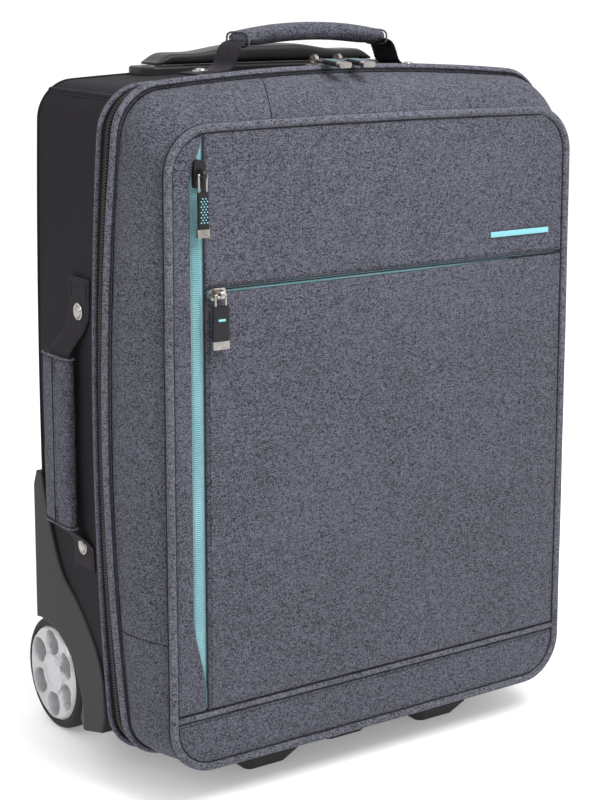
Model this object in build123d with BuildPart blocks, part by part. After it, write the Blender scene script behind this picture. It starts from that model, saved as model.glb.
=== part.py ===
from build123d import *
import os
from typing import NamedTuple

# Two-wheeled cabin trolley for a laptop, standing upright. Millimetres, +Z up, +X to the right of
# somebody who faces the front, -Y towards the front. The origin is on the floor, under the middle.

os.makedirs("parts", exist_ok=True)


class Section(NamedTuple):
    """One upright slice of the case: a rounded rectangle whose four sides bow outwards."""

    y: float
    width: float
    low: float
    high: float
    corner: float
    side_bow: float
    top_bow: float
    low_bow: float


# Driving dimensions of the case: four slices, from the back panel to the front face.
BACK = Section(62.6, 387.0, 34.0, 531.0, 28.0, 4.5, 7.0, 3.0)
REAR_SEAM = Section(-40.0, 390.5, 27.0, 530.5, 31.0, 10.2, 7.0, 3.0)
LID_SEAM = Section(-69.0, 388.8, 33.0, 530.0, 29.0, 14.9, 10.7, 4.0)
FACE = Section(-119.0, 370.2, 33.3, 505.0, 32.5, 0.6, 2.3, 1.0)

WALL = 3.5              # padded fabric wall
GAP = 0.3               # room between two bodies
TAPE = 1.6              # thickness of a zip tape
ZIP_Y = -55.5           # where the two halves of the main zip meet
REAR_PIPING_R = 1.9
LID_PIPING_R = 3.5
FACE_PIPING_R = 3.0

# Wheels and their housings
WHEEL_Y = 82.5
WHEEL_Z = 46.6
TYRE_R = 46.6
HUB_R = 38.9
WHEEL_IN = 159.0        # inner face of the tyre
WHEEL_OUT = 181.0       # outer face of the tyre
HUB_OUT = 182.0         # outer face of the hub
AXLE_R = 4.0
BEARING_R = 11.0
BEARING_W = 7.0
WELL_R = 51.0           # inside of the wheel arch
GUARD_WALL = 3.0
GUARD_IN = 152.0
GUARD_OUT = 200.3
SPINE_BACK = 70.5       # back edge of the wheel guards
BOSS_R = 20.0           # the plate that carries the axle
GUARD_TOP = 226.0
# The guard's outer skin slopes in towards the wheel arch, between two circles: x, y, z and radius
DISH_NEAR = (185.0, WHEEL_Y, WHEEL_Z, 52.5)
DISH_FAR = (200.4, 57.0, 41.0, 63.3)

# Telescopic handle
TUBE_X = 85.0
TUBE_Y = 46.0
GRIP_TOP = 556.5
GRIP_LOW = 541.8
BEZEL_TOP = 541.0
GRIP_LENGTH = 208.0
GRIP_DEPTH = 30.0
BUTTON = (41.0, 13.0)
BUTTON_TRAVEL = 3.6
STAGE_TRAVEL = 235.0

# Face: pockets, zips and trim
FACE_FRONT = -116.3     # front of the lid's board, on which the pocket panels lie
PANEL = 4.3
ZIP_DEPTH = 2.2
SIDE_ZIP = (-166.3, -156.3)
TOP_ZIP_Z = (386.1, 390.7)
BAND_TOP = 71.8

# Handles
TOP_HANDLE_Y = -23.0
TOP_HANDLE_X = 67.0
TOP_RIVET_X = 97.0
SIDE_HANDLE_Y = 2.0
SIDE_STRAP_Y = -20.0
SIDE_HANDLE_Z = (198.0, 332.0)
SIDE_RIVETS_Z = (186.0, 366.0)
SIDE_RIVET_X = -205.0

SIDES = {"left": -1, "right": 1}


def save(builder, name):
    """Label a finished piece and write its file."""
    builder.part.label = name
    export_step(builder.part, f"parts/{name}.step")


def between(first, second, share, y):
    """The slice that lies a share of the way from one slice to another."""
    values = [a + (b - a) * share for a, b in zip(first, second)]
    return Section(*values)._replace(y=y)


def bowed_edges(section, inset):
    """Draw the four bowed sides of a slice in the active line builder."""
    half = section.width / 2 - inset
    low = section.low + inset
    high = section.high - inset
    middle = (low + high) / 2
    ThreePointArc((-half, low), (0, low - section.low_bow), (half, low))
    ThreePointArc((half, low), (half + section.side_bow, middle), (half, high))
    ThreePointArc((half, high), (0, high + section.top_bow), (-half, high))
    ThreePointArc((-half, high), (-half - section.side_bow, middle), (-half, low))


def slice_face(section, inset=0.0):
    """One slice of the case as a face on its own upright plane."""
    with BuildSketch(Plane.XZ.offset(-section.y)) as sketch:
        with BuildLine():
            bowed_edges(section, inset)
        make_face()
        fillet(sketch.vertices(), section.corner - inset)
    return sketch.sketch


def shell_of(sections, inset, mode=Mode.ADD):
    """Loft the slices, all moved inwards by the same amount."""
    loft([slice_face(section, inset) for section in sections], ruled=True, mode=mode)


def piping(section, radius, name):
    """A closed cord of piping along the outline of one slice."""
    with BuildPart() as cord:
        with BuildLine(Plane.XZ.offset(-section.y)) as path:
            bowed_edges(section, 0)
            fillet(path.vertices(), section.corner)
        with BuildSketch(Plane(origin=path.wire() @ 0, z_dir=path.wire() % 0)):
            Circle(radius)
        sweep(path=path.wire())
    save(cord, name)


def block(x, y, z, mode=Mode.ADD, rounded=0.0, along="Y"):
    """A box given by its three ranges, with its four edges along one axis rounded."""
    ranges = {"X": x, "Y": y, "Z": z}
    low, high = sorted(ranges.pop(along))
    (first_low, first_high), (second_low, second_high) = (sorted(pair) for pair in ranges.values())
    planes = {"X": Plane.YZ.offset(low), "Y": Plane.XZ.offset(-high), "Z": Plane.XY.offset(low)}
    with BuildSketch(planes[along]) as outline:
        with Locations(((first_low + first_high) / 2, (second_low + second_high) / 2)):
            if rounded:
                RectangleRounded(first_high - first_low, second_high - second_low, rounded)
            else:
                Rectangle(first_high - first_low, second_high - second_low)
    extrude(outline.sketch, amount=high - low, mode=mode)


def rod(radius, start, end, centre, mode=Mode.ADD, along="X"):
    """A cylinder along one axis, between two places on it, about a point of the other two."""
    low, high = sorted((start, end))
    planes = {"X": Plane.YZ.offset(low), "Y": Plane.XZ.offset(-high), "Z": Plane.XY.offset(low)}
    with BuildSketch(planes[along]) as outline:
        with Locations(centre):
            Circle(radius)
    extrude(outline.sketch, amount=high - low, mode=mode)


def dish(side, depth=0.0):
    """Take away the room between the two circles of the guard's dish, moved in by a depth."""
    ends = []
    for x, y, z, radius in (DISH_NEAR, DISH_FAR):
        with BuildSketch(Plane.YZ.offset(side * (x - depth))) as end:
            with Locations((y, z)):
                Circle(radius)
        ends.append(end.sketch)
    loft(ends, mode=Mode.SUBTRACT)


# ---------------------------------------------------------------- rear half of the case
REAR_FRONT = between(REAR_SEAM, LID_SEAM, 0.1, -43.0)
BACK_EDGE = BACK._replace(y=BACK.y - 6)
BACK_ROUNDED = BACK._replace(width=BACK.width - 9, low=BACK.low + 4, high=BACK.high - 4.5, corner=24.0)
HALF_WAY = between(REAR_SEAM, LID_SEAM, 0.53, ZIP_Y)


def notch_for_wheel(side):
    """Take the wheel's housing out of a rear corner."""
    depth = GUARD_WALL + 0.3
    rod(WELL_R + GUARD_WALL + 0.2, side * (GUARD_IN + 0.6), side * 230, (WHEEL_Y, WHEEL_Z), Mode.SUBTRACT)
    dish(side, depth)
    far_x, far_y, far_z, far_r = DISH_FAR
    rod(far_r - 0.1, side * (far_x - depth), side * 230, (far_y, far_z), Mode.SUBTRACT)


with BuildPart() as rear_solid:
    shell_of([REAR_FRONT, BACK_EDGE], 1.0)
    shell_of([BACK_EDGE, BACK_ROUNDED], 1.0)
    for side in SIDES.values():
        notch_for_wheel(side)

with BuildPart() as rear_shell:
    add(rear_solid.part)
    shell_of([REAR_FRONT._replace(y=-44.0), BACK_EDGE._replace(y=BACK.y - WALL)], 1.0 + WALL, Mode.SUBTRACT)
    for side in SIDES.values():
        block(
            (side * (TUBE_X - 13), side * (TUBE_X + 13)),
            (TUBE_Y - 9, TUBE_Y + 9),
            (515, 550),
            Mode.SUBTRACT,
        )
save(rear_shell, "rear_shell")

LINING_BACK = between(REAR_FRONT, BACK_EDGE, 0.69, 26.0)
with BuildPart() as compartment_lining:
    shell_of([REAR_FRONT, LINING_BACK], 1.3 + WALL)
    shell_of([REAR_FRONT._replace(y=-44.0), LINING_BACK._replace(y=27.0)], 2.3 + WALL, Mode.SUBTRACT)
    for side in SIDES.values():
        notch_for_wheel(side)
save(compartment_lining, "compartment_lining")

REAR_PIPE = REAR_SEAM._replace(y=REAR_SEAM.y - 5.2)
piping(REAR_PIPE._replace(width=REAR_SEAM.width + 0.2), REAR_PIPING_R, "rear_piping")
piping(LID_SEAM, LID_PIPING_R, "lid_piping")
piping(FACE._replace(y=FACE.y - 0.4), FACE_PIPING_R, "face_piping")


def tape_ring(near, far):
    """The ring that half of the main zip forms round the case."""
    shell_of([near, far], 1.2)
    shell_of([near._replace(y=near.y + 1), far._replace(y=far.y - 1)], 1.2 + TAPE, Mode.SUBTRACT)


TAPE_REAR = between(REAR_SEAM, LID_SEAM, 0.27, REAR_PIPE.y - REAR_PIPING_R - 0.1)
HINGE_SIDE = ((186, 230), (-80, -30), (85, 480))

with BuildPart() as rear_zip_tape:
    tape_ring(TAPE_REAR, HALF_WAY._replace(y=ZIP_Y + GAP))
    block(*HINGE_SIDE, Mode.SUBTRACT)
save(rear_zip_tape, "rear_zip_tape")

with BuildPart() as hinge_gusset:
    tape_ring(TAPE_REAR, HALF_WAY._replace(y=ZIP_Y + GAP))
    block(*HINGE_SIDE, Mode.INTERSECT)
save(hinge_gusset, "hinge_gusset")

with BuildPart() as lid_zip_tape:
    tape_ring(HALF_WAY._replace(y=ZIP_Y - GAP), LID_SEAM._replace(y=LID_SEAM.y + LID_PIPING_R + 0.1))
save(lid_zip_tape, "lid_zip_tape")

# ---------------------------------------------------------------- inside the rear half
with BuildPart() as back_board:
    block((-148, 148), (56.2, 58.9), (108, 505), rounded=12.0)
save(back_board, "back_board")

with BuildPart() as handle_tray:
    block((-172, 172), (27.2, 29.2), (110, 512), rounded=16.0)
save(handle_tray, "handle_tray")

with BuildPart() as laptop_sleeve:
    block((-172, 172), (6.0, 26.8), (62, 338), rounded=14.0)
    block((-168, 168), (10.0, 23.2), (66, 360), Mode.SUBTRACT)
save(laptop_sleeve, "laptop_sleeve")

# ---------------------------------------------------------------- base moulding and wheel guards
with BuildPart() as base_moulding:
    block((-145, 145), (63.0, 84.0), (24, 212), rounded=14.0)
    block((-142, 142), (60.0, 81.0), (36, 209), Mode.SUBTRACT, rounded=12.0)
    block((-150, 150), (-34, 70.0), (21, 40), rounded=3.0, along="X")
    add(rear_solid.part, mode=Mode.SUBTRACT)
    for x in (-110, -55, 0, 55, 110):
        block((x - 4, x + 4), (82.5, 87.0), (34, 196), rounded=3.0)
save(base_moulding, "base_moulding")


def guard_profile(plane):
    """Side view of a wheel guard: a fin up the back corner that flares out in front of the wheel."""
    with BuildSketch(plane) as profile:
        with BuildLine():
            Spline(
                (SPINE_BACK - 14, GUARD_TOP),
                (45, 190),
                (26, 153),
                (1, 134.5),
                (-18, 117),
                (-31, 100),
                (-38, 82),
                (-41, 55),
                tangents=((-0.2, -1), (0, -1)),
            )
            Polyline(
                (-41, 55),
                (-36, 40),
                (-10, 33),
                (33, 24),
                (WHEEL_Y, 24),
                (WHEEL_Y, 90),
                (SPINE_BACK, 92),
                (SPINE_BACK, GUARD_TOP - 12),
                (SPINE_BACK - 5, GUARD_TOP),
                (SPINE_BACK - 14, GUARD_TOP),
            )
        make_face()
    return profile.sketch


with BuildPart() as guard_left:
    extrude(guard_profile(Plane.YZ.offset(-GUARD_OUT)), amount=GUARD_OUT - GUARD_IN)
    rod(BOSS_R, -(GUARD_IN + GUARD_WALL), -GUARD_IN, (WHEEL_Y, WHEEL_Z))
    add(rear_solid.part, mode=Mode.SUBTRACT)
    rod(WELL_R, -GUARD_OUT - 1, -(GUARD_IN + GUARD_WALL), (WHEEL_Y, WHEEL_Z), Mode.SUBTRACT)
    dish(-1)
    block((-178, -140), (62.0, 95.0), (WHEEL_Z + WELL_R + GUARD_WALL, 230), Mode.SUBTRACT)
    rod(AXLE_R + 0.05, -160, -150, (WHEEL_Y, WHEEL_Z), Mode.SUBTRACT)
save(guard_left, "wheel_guard_left")

with BuildPart() as guard_right:
    mirror(guard_left.part, about=Plane.YZ)
save(guard_right, "wheel_guard_right")

with BuildPart() as case_screws:
    for side in SIDES.values():
        for z in (150, 195):
            rod(3.6, SPINE_BACK + 0.05, SPINE_BACK + 1.6, (side * 189, z), along="Y")
        for z in (60, 190):
            rod(3.6, 84.05, 85.8, (side * 132, z), along="Y")
        for y in (TUBE_Y - 10, TUBE_Y + 10):
            rod(2.4, BEZEL_TOP + 0.05, BEZEL_TOP + 0.5, (side * 106, y), along="Z")
save(case_screws, "case_screws")

# ---------------------------------------------------------------- wheels
WHEEL_CENTRE = (WHEEL_Y, WHEEL_Z)
POCKET_RING = 26.4
POCKET_R = 10.4
CAP_R = 16.6

with BuildPart() as axles:
    for side in SIDES.values():
        rod(AXLE_R, side * (GUARD_IN - 0.1), side * 178.5, WHEEL_CENTRE)
        rod(7.5, side * 147.5, side * (GUARD_IN - 0.1), WHEEL_CENTRE)
        rod(6.5, side * 177.3, side * 179.6, WHEEL_CENTRE)
save(axles, "axles")

for name, side in SIDES.items():
    with BuildPart() as bearings:
        for near in (WHEEL_IN + 1, WHEEL_IN + 11):
            rod(BEARING_R, side * near, side * (near + BEARING_W), WHEEL_CENTRE)
        rod(AXLE_R + 0.03, side * 150, side * 190, WHEEL_CENTRE, Mode.SUBTRACT)
    save(bearings, f"bearings_{name}")

    with BuildPart() as hub:
        rod(HUB_R, side * (WHEEL_IN + 0.5), side * (HUB_OUT - 0.5), WHEEL_CENTRE)
        rod(BEARING_R + 0.01, side * 150, side * 190, WHEEL_CENTRE, Mode.SUBTRACT)
        with BuildSketch(Plane.YZ.offset(side * (HUB_OUT - 0.5))) as pockets:
            with Locations(WHEEL_CENTRE):
                with PolarLocations(POCKET_RING, 6, start_angle=30):
                    Circle(POCKET_R)
                Circle(CAP_R + 1.2, mode=Mode.SUBTRACT)
        extrude(pockets.sketch, amount=-side * 13, taper=8, mode=Mode.SUBTRACT)
    save(hub, f"hub_{name}")

    with BuildPart() as hub_cap:
        rod(CAP_R, side * (HUB_OUT - 0.45), side * (HUB_OUT + 0.6), WHEEL_CENTRE)
    save(hub_cap, f"hub_cap_{name}")

    with BuildPart() as tyre:
        rod(TYRE_R, side * WHEEL_IN, side * WHEEL_OUT, WHEEL_CENTRE)
        fillet(tyre.edges().filter_by(GeomType.CIRCLE), 4.5)
        rod(HUB_R + 0.03, side * 150, side * 190, WHEEL_CENTRE, Mode.SUBTRACT)
    save(tyre, f"tyre_{name}")

# ---------------------------------------------------------------- telescopic handle
OUTER_TUBE = (24.0, 16.0, 1.5)
MIDDLE_TUBE = (20.3, 12.3, 1.3)
INNER_TUBE = (17.0, 9.0, 1.2)
PIN_Z = 112.0
PIN_R = 2.2


def tube_pair(size, low, high, hole_z=None):
    """Two upright rectangular tubes, one on each side, with a pin hole in each outer wall."""
    width, depth, wall = size
    for side in SIDES.values():
        centre = side * TUBE_X
        across = (centre - width / 2, centre + width / 2)
        block(across, (TUBE_Y - depth / 2, TUBE_Y + depth / 2), (low, high), rounded=1.6, along="Z")
        inside = (across[0] + wall, across[1] - wall)
        block(
            inside,
            (TUBE_Y - depth / 2 + wall, TUBE_Y + depth / 2 - wall),
            (low - 1, high + 1),
            Mode.SUBTRACT,
        )
        if hole_z:
            rod(PIN_R + 0.3, centre, centre + side * width, (TUBE_Y, hole_z), Mode.SUBTRACT)


with BuildPart() as outer_tubes:
    tube_pair(OUTER_TUBE, 60, 534)
save(outer_tubes, "outer_tubes")

with BuildPart() as middle_tubes:
    tube_pair(MIDDLE_TUBE, 76, GRIP_LOW - 0.4, PIN_Z + STAGE_TRAVEL)
save(middle_tubes, "middle_tubes")

with BuildPart() as inner_tubes:
    tube_pair(INNER_TUBE, 96, GRIP_LOW + 1.4, PIN_Z)
save(inner_tubes, "inner_tubes")

for name, side in SIDES.items():
    with BuildPart() as lock_pin:
        rod(PIN_R, side * (TUBE_X + 1), side * (TUBE_X + INNER_TUBE[0] / 2 + 0.1), (TUBE_Y, PIN_Z))
    save(lock_pin, f"lock_pin_{name}")

with BuildPart() as handle_bezel:
    block((-116, 116), (27, 64.5), (525, BEZEL_TOP), rounded=12.0, along="Z")
    fillet(handle_bezel.faces().sort_by(Axis.Z)[-1].edges(), 2)
    add(rear_solid.part, mode=Mode.SUBTRACT)
    for side in SIDES.values():
        block(
            (side * TUBE_X - 10.6, side * TUBE_X + 10.6),
            (TUBE_Y - 6.6, TUBE_Y + 6.6),
            (520, 550),
            Mode.SUBTRACT,
        )
save(handle_bezel, "handle_bezel")

BUTTON_TOP = 556.0
BUTTON_LOW = 552.4
BAR_TOP = 549.3
with BuildPart() as handle_grip:
    with BuildSketch(Plane.XZ.offset(-(TUBE_Y + GRIP_DEPTH / 2))) as grip_front:
        with BuildLine():
            half = GRIP_LENGTH / 2
            Polyline((-half, 549), (-half, GRIP_LOW), (half, GRIP_LOW), (half, 549))
            ThreePointArc((half, 549), (0, GRIP_TOP), (-half, 549))
        make_face()
    extrude(grip_front.sketch, amount=GRIP_DEPTH)
    fillet(handle_grip.faces().sort_by(Axis.Z)[-1].edges(), 3.5)
    cavity_y = (TUBE_Y - 3.6, TUBE_Y + 3.6)
    block((-89.5, 89.5), cavity_y, (GRIP_LOW + 1.0, BAR_TOP + 0.3), Mode.SUBTRACT)
    half_x, half_y = BUTTON[0] / 2 + 0.4, BUTTON[1] / 2 + 0.4
    block(
        (-half_x, half_x),
        (TUBE_Y - half_y, TUBE_Y + half_y),
        (BUTTON_LOW - BUTTON_TRAVEL - 0.6, 570),
        Mode.SUBTRACT,
    )
    for side in SIDES.values():
        across = (side * TUBE_X - INNER_TUBE[0] / 2, side * TUBE_X + INNER_TUBE[0] / 2)
        block(across, (TUBE_Y - 4.5, TUBE_Y + 4.5), (540, GRIP_LOW + 1.4), Mode.SUBTRACT)
save(handle_grip, "handle_grip")

with BuildPart() as release_button:
    block(
        (-BUTTON[0] / 2, BUTTON[0] / 2),
        (TUBE_Y - BUTTON[1] / 2, TUBE_Y + BUTTON[1] / 2),
        (BUTTON_LOW, BUTTON_TOP),
        rounded=4.0,
        along="Z",
    )
    fillet(release_button.faces().sort_by(Axis.Z)[-1].edges(), 1.2)
save(release_button, "release_button")

with BuildPart() as release_bar:
    block((-88, 88), (TUBE_Y - 2.6, TUBE_Y + 2.6), (BAR_TOP - 1.8, BAR_TOP))
    block((-9, 9), (TUBE_Y - 2.6, TUBE_Y + 2.6), (BAR_TOP - 0.5, BUTTON_LOW - 0.05))
    for side in SIDES.values():
        rod(1.8, 121, BAR_TOP - 1, (side * TUBE_X, TUBE_Y), along="Z")
save(release_bar, "release_bar")

SPRING_LOW = BUTTON_LOW - BUTTON_TRAVEL - 0.6
with BuildPart() as button_springs:
    for y in (TUBE_Y - 5.2, TUBE_Y + 5.2):
        with BuildLine(Plane((0, y, SPRING_LOW + 0.4))) as coil:
            Helix(pitch=1.1, height=3.6, radius=1.2)
        with BuildSketch(Plane(origin=coil.line @ 0, z_dir=coil.line % 0)) as wire:
            Circle(0.25)
        sweep(wire.sketch, path=coil.line)
save(button_springs, "button_springs")

# ---------------------------------------------------------------- lid
LID_BACK = between(LID_SEAM, FACE, 0.07, -72.8)
LID_MIDDLE = between(LID_SEAM, FACE, 0.5, -95.0)
LID_MIDDLE = LID_MIDDLE._replace(width=LID_MIDDLE.width + 5, high=LID_MIDDLE.high + 4)
LID_FRONT = FACE._replace(y=FACE_FRONT + 0.3)
LID_SLICES = (LID_BACK, LID_MIDDLE, LID_FRONT)


def lid_loft(inset, mode=Mode.ADD, trim=0.0):
    """The lid's outer form, moved inwards, and cut short by trim at its front."""
    back, middle, front = LID_SLICES
    shell_of((back._replace(y=back.y + (1 if trim else 0)), middle), inset, mode)
    shell_of((middle, front._replace(y=front.y + trim)), inset, mode)


with BuildPart() as lid_shell:
    lid_loft(0.8)
    lid_loft(0.8 + WALL, Mode.SUBTRACT, WALL)
save(lid_shell, "lid_shell")

with BuildPart() as lid_lining:
    shell_of((LID_BACK, LID_MIDDLE), 1.6 + WALL)
    shell_of((LID_MIDDLE, LID_FRONT._replace(y=-112.0)), 1.6 + WALL)
    shell_of((LID_BACK._replace(y=-71.0), LID_MIDDLE), 2.6 + WALL, Mode.SUBTRACT)
    shell_of((LID_MIDDLE, LID_FRONT._replace(y=-111.0)), 2.6 + WALL, Mode.SUBTRACT)
save(lid_lining, "lid_lining")

FACE_EDGE = FACE._replace(y=FACE_FRONT - 0.05)


def face_panel(x, z, thickness, base=0.0):
    """A flat panel of the face between two x and two z values, kept inside the face piping."""
    outline = slice_face(FACE_EDGE._replace(y=FACE_EDGE.y - base), FACE_PIPING_R + 0.2)
    extrude(outline, amount=thickness)
    block(x, (-140, -100), z, Mode.INTERSECT)


FACE_PANELS = {
    "pocket_edge_panel": ((-200, SIDE_ZIP[0] - 0.2), (BAND_TOP + 0.2, 520)),
    "upper_pocket_panel": ((SIDE_ZIP[1] + 0.2, 200), (TOP_ZIP_Z[1] + 0.2, 520)),
    "lower_pocket_panel": ((SIDE_ZIP[1] + 0.2, 200), (BAND_TOP + 0.2, TOP_ZIP_Z[0] - 0.2)),
    "bottom_band": ((-200, 200), (20, BAND_TOP)),
}
for name, (x, z) in FACE_PANELS.items():
    with BuildPart() as panel:
        face_panel(x, z, PANEL)
    save(panel, name)

with BuildPart() as pocket_zips:
    face_panel(SIDE_ZIP, (BAND_TOP + 0.2, 520), ZIP_DEPTH)
side_zip = pocket_zips.part
with BuildPart() as pocket_zips:
    face_panel((SIDE_ZIP[1] + 0.2, 200), TOP_ZIP_Z, ZIP_DEPTH)
    add(side_zip)
save(pocket_zips, "pocket_zips")

FOOT_X = {"left": -78.0, "middle": 7.0, "right": 92.0}
FOOT_BACK = -50.0
FOOT_DEPTH = 28.0
FOOT_TOP_HALF = 25.0
FOOT_LOW_HALF = 19.0
FOOT_STEP = 12.0
FOOT_RAKE = 6.0         # how far a tread stands behind the middle of its skid
FOOT_SCREW_R = 4.0


def foot_y(name):
    """The middle of a skid; the one in the middle stands further back."""
    return FOOT_BACK - FOOT_DEPTH / 2 - (0 if name == "middle" else FOOT_STEP)


with BuildPart() as front_feet:
    for name, x in FOOT_X.items():
        with BuildSketch(Plane.XY) as tread:
            with Locations((x, foot_y(name) + FOOT_RAKE)):
                RectangleRounded(2 * FOOT_LOW_HALF, FOOT_DEPTH - 8, 6)
        with BuildSketch(Plane.XY.offset(12)) as body:
            with Locations((x, foot_y(name))):
                RectangleRounded(2 * FOOT_TOP_HALF, FOOT_DEPTH, 6)
        loft([tread.sketch, body.sketch])
        extrude(body.sketch, amount=28)
        rod(FOOT_SCREW_R, -1, 4.5, (x, foot_y(name) + FOOT_RAKE), Mode.SUBTRACT, along="Z")
    lid_loft(0.75, Mode.SUBTRACT)
    shell_of((LID_SEAM._replace(y=-30.0), LID_BACK), -LID_PIPING_R - 0.4, Mode.SUBTRACT)
save(front_feet, "front_feet")

with BuildPart() as foot_screws:
    for name, x in FOOT_X.items():
        rod(FOOT_SCREW_R - 0.2, 2.2, 4.4, (x, foot_y(name) + FOOT_RAKE), along="Z")
save(foot_screws, "foot_screws")

# ---------------------------------------------------------------- zip sliders and their pulls
SLIDER_X = {"left": -17.0, "right": 5.0}
SLIDER_LOW = 540.0      # underside of the main sliders, above the teeth
EYE = 7.9               # height of a pull's hinge above the slider's underside
PULL_SLOPE = 4.5        # how far the main pulls droop over the piping, in degrees
WIRE_R = 0.9
FACE_SLIDER_Y = -118.9  # underside of the side pocket's slider
FLAT_SLIDER_Y = -120.9  # underside of the front pocket's slider
SIDE_SLIDER = (-161.3, 474.0)
FRONT_SLIDER = (-148.6, 388.4)


def flat_slider(across, along):
    """A zip slider lying in XY, its underside at z 0, with a bridge along Y for its pull."""
    half_x, half_y = across / 2, along / 2
    with BuildPart() as slider:
        block((-half_x, half_x), (-half_y, half_y), (0, 3.9), rounded=2.5, along="Z")
        block((-1.5, 1.5), (-3.8, 3.8), (3.0, 11.4), rounded=3.6, along="X")
        block((-2, 2), (-2.7, 2.7), (5.0, 10.2), Mode.SUBTRACT, 2.1, "X")
    return slider.part


def flat_pull_metal(half, loop_length, grip_end, tip_end, tip_half):
    """A pull's wire loop, hinged on X, and the metal clip that closes its far end."""
    with BuildPart() as metal:
        rod(WIRE_R, -half, half, (0, 0))
        rod(WIRE_R, -half + 1, half - 1, (-loop_length, 0))
        for x in (-half, half):
            rod(WIRE_R, -loop_length, 0, (x, 0), along="Y")
            with Locations((x, 0, 0), (x, -loop_length, 0)):
                Sphere(WIRE_R)
        block((-tip_half, tip_half), (-tip_end, -grip_end - 0.05), (-2.2, 2.2), rounded=1.8)
    return metal.part


def flat_pull_grip(half, loop_half, loop_length, grip_end):
    """The moulded grip of a pull, slotted for the far end of its loop."""
    with BuildPart() as grip:
        block((-half, half), (-grip_end, 2 - loop_length), (-1.8, 1.8), rounded=1.6)
        slot_half = loop_half + WIRE_R + 0.05
        block((-slot_half, slot_half), (-loop_length - 1, 2.1 - loop_length), (-0.95, 0.95), Mode.SUBTRACT)
    return grip.part


def save_placed(part, place, name):
    """Move a piece drawn flat to its place, and save it."""
    with BuildPart() as placed:
        add(part.moved(place))
    save(placed, name)


for name, x in SLIDER_X.items():
    save_placed(flat_slider(14, 8.4), Location((x, ZIP_Y - 0.5, SLIDER_LOW)), f"main_slider_{name}")
    hinge = Location((x, ZIP_Y - 0.5, SLIDER_LOW + EYE), (PULL_SLOPE, 0, 0))
    save_placed(flat_pull_metal(3.6, 19, 36, 41, 5.6), hinge, f"main_pull_metal_{name}")
    save_placed(flat_pull_grip(4.9, 3.6, 19, 36), hinge, f"main_pull_grip_{name}")

UPRIGHT = (90, 0, 0)
side_x, side_z = SIDE_SLIDER
save_placed(flat_slider(8.6, 20), Location((side_x, FACE_SLIDER_Y, side_z), UPRIGHT), "side_zip_slider")
hinge = Location((side_x, FACE_SLIDER_Y - EYE, side_z), UPRIGHT)
save_placed(flat_pull_metal(3.2, 14, 38, 44, 5.2), hinge, "side_pull_metal")
save_placed(flat_pull_grip(4.4, 3.2, 14, 38), hinge, "side_pull_grip")

front_x, front_z = FRONT_SLIDER
save_placed(flat_slider(14, 8.6), Location((front_x, FLAT_SLIDER_Y, front_z), UPRIGHT), "front_zip_slider")
hinge = Location((front_x, FLAT_SLIDER_Y - EYE, front_z), UPRIGHT)
save_placed(flat_pull_metal(4.2, 10, 33, 39, 7.0), hinge, "front_pull_metal")
save_placed(flat_pull_grip(6.8, 4.2, 10, 33), hinge, "front_pull_grip")

# ---------------------------------------------------------------- carrying handles
SLEEVE_DEPTH = 34.0
SLEEVE_ENDS_Z = 562.0
SLEEVE_RISE = 6.0
SLEEVE_HALF = 7.0
WEBBING = 32.0

with BuildPart() as top_handle_sleeve:
    with BuildSketch(Plane.XZ.offset(-(TOP_HANDLE_Y + SLEEVE_DEPTH / 2))) as arch:
        with BuildLine():
            top_z = SLEEVE_ENDS_Z + SLEEVE_HALF
            low_z = SLEEVE_ENDS_Z - SLEEVE_HALF
            ThreePointArc((-TOP_HANDLE_X, top_z), (0, top_z + SLEEVE_RISE), (TOP_HANDLE_X, top_z))
            ThreePointArc((-TOP_HANDLE_X, low_z), (0, low_z + SLEEVE_RISE), (TOP_HANDLE_X, low_z))
            Line((-TOP_HANDLE_X, top_z), (-TOP_HANDLE_X, low_z))
            Line((TOP_HANDLE_X, top_z), (TOP_HANDLE_X, low_z))
        make_face()
    extrude(arch.sketch, amount=SLEEVE_DEPTH)
    long_edges = top_handle_sleeve.edges().filter_by(GeomType.CIRCLE)
    fillet(long_edges, 6)
save(top_handle_sleeve, "top_handle_sleeve")

with BuildPart() as top_handle_webbing:
    for side in SIDES.values():
        with BuildSketch(Plane.XZ.offset(-(TOP_HANDLE_Y + WEBBING / 2))) as leg:
            with BuildLine():
                near, far = side * (TOP_HANDLE_X + 0.1), side * (TOP_HANDLE_X + 9)
                Polyline((near, 563), (near, 560.5), (far, 553.5), (far, 556), close=True)
            make_face()
        extrude(leg.sketch, amount=WEBBING)
save(top_handle_webbing, "top_handle_webbing")

with BuildPart() as side_handle_sleeve:
    low, high = SIDE_HANDLE_Z
    block((SIDE_RIVET_X - 11.3, SIDE_RIVET_X - 0.3), (SIDE_HANDLE_Y - 23, SIDE_HANDLE_Y + 23), (low, high))
    fillet(side_handle_sleeve.edges().filter_by(Axis.Z), 5)
save(side_handle_sleeve, "side_handle_sleeve")

with BuildPart() as webbing_ends:
    for side in SIDES.values():
        across = (side * (TOP_RIVET_X - 13), side * (TOP_RIVET_X + 13))
        block(across, (TOP_HANDLE_Y - WEBBING / 2, TOP_HANDLE_Y + WEBBING / 2), (530, 538))
    side_low, side_high = SIDE_RIVETS_Z
    for z in ((side_low - 18, SIDE_HANDLE_Z[0] - 2), (SIDE_HANDLE_Z[1] + 2, side_high + 27)):
        block((SIDE_RIVET_X, SIDE_RIVET_X + 8), (SIDE_STRAP_Y - 16, SIDE_STRAP_Y + 16), z)
    add(rear_solid.part, mode=Mode.SUBTRACT)
save(webbing_ends, "webbing_ends")

with BuildPart() as handle_rivets:
    for side in SIDES.values():
        rod(6, 538.05, 540.3, (side * TOP_RIVET_X, TOP_HANDLE_Y), along="Z")
    for z in SIDE_RIVETS_Z:
        rod(6, SIDE_RIVET_X - 2.4, SIDE_RIVET_X - 0.05, (SIDE_STRAP_Y, z))
save(handle_rivets, "handle_rivets")
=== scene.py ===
import math
from typing import NamedTuple

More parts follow.
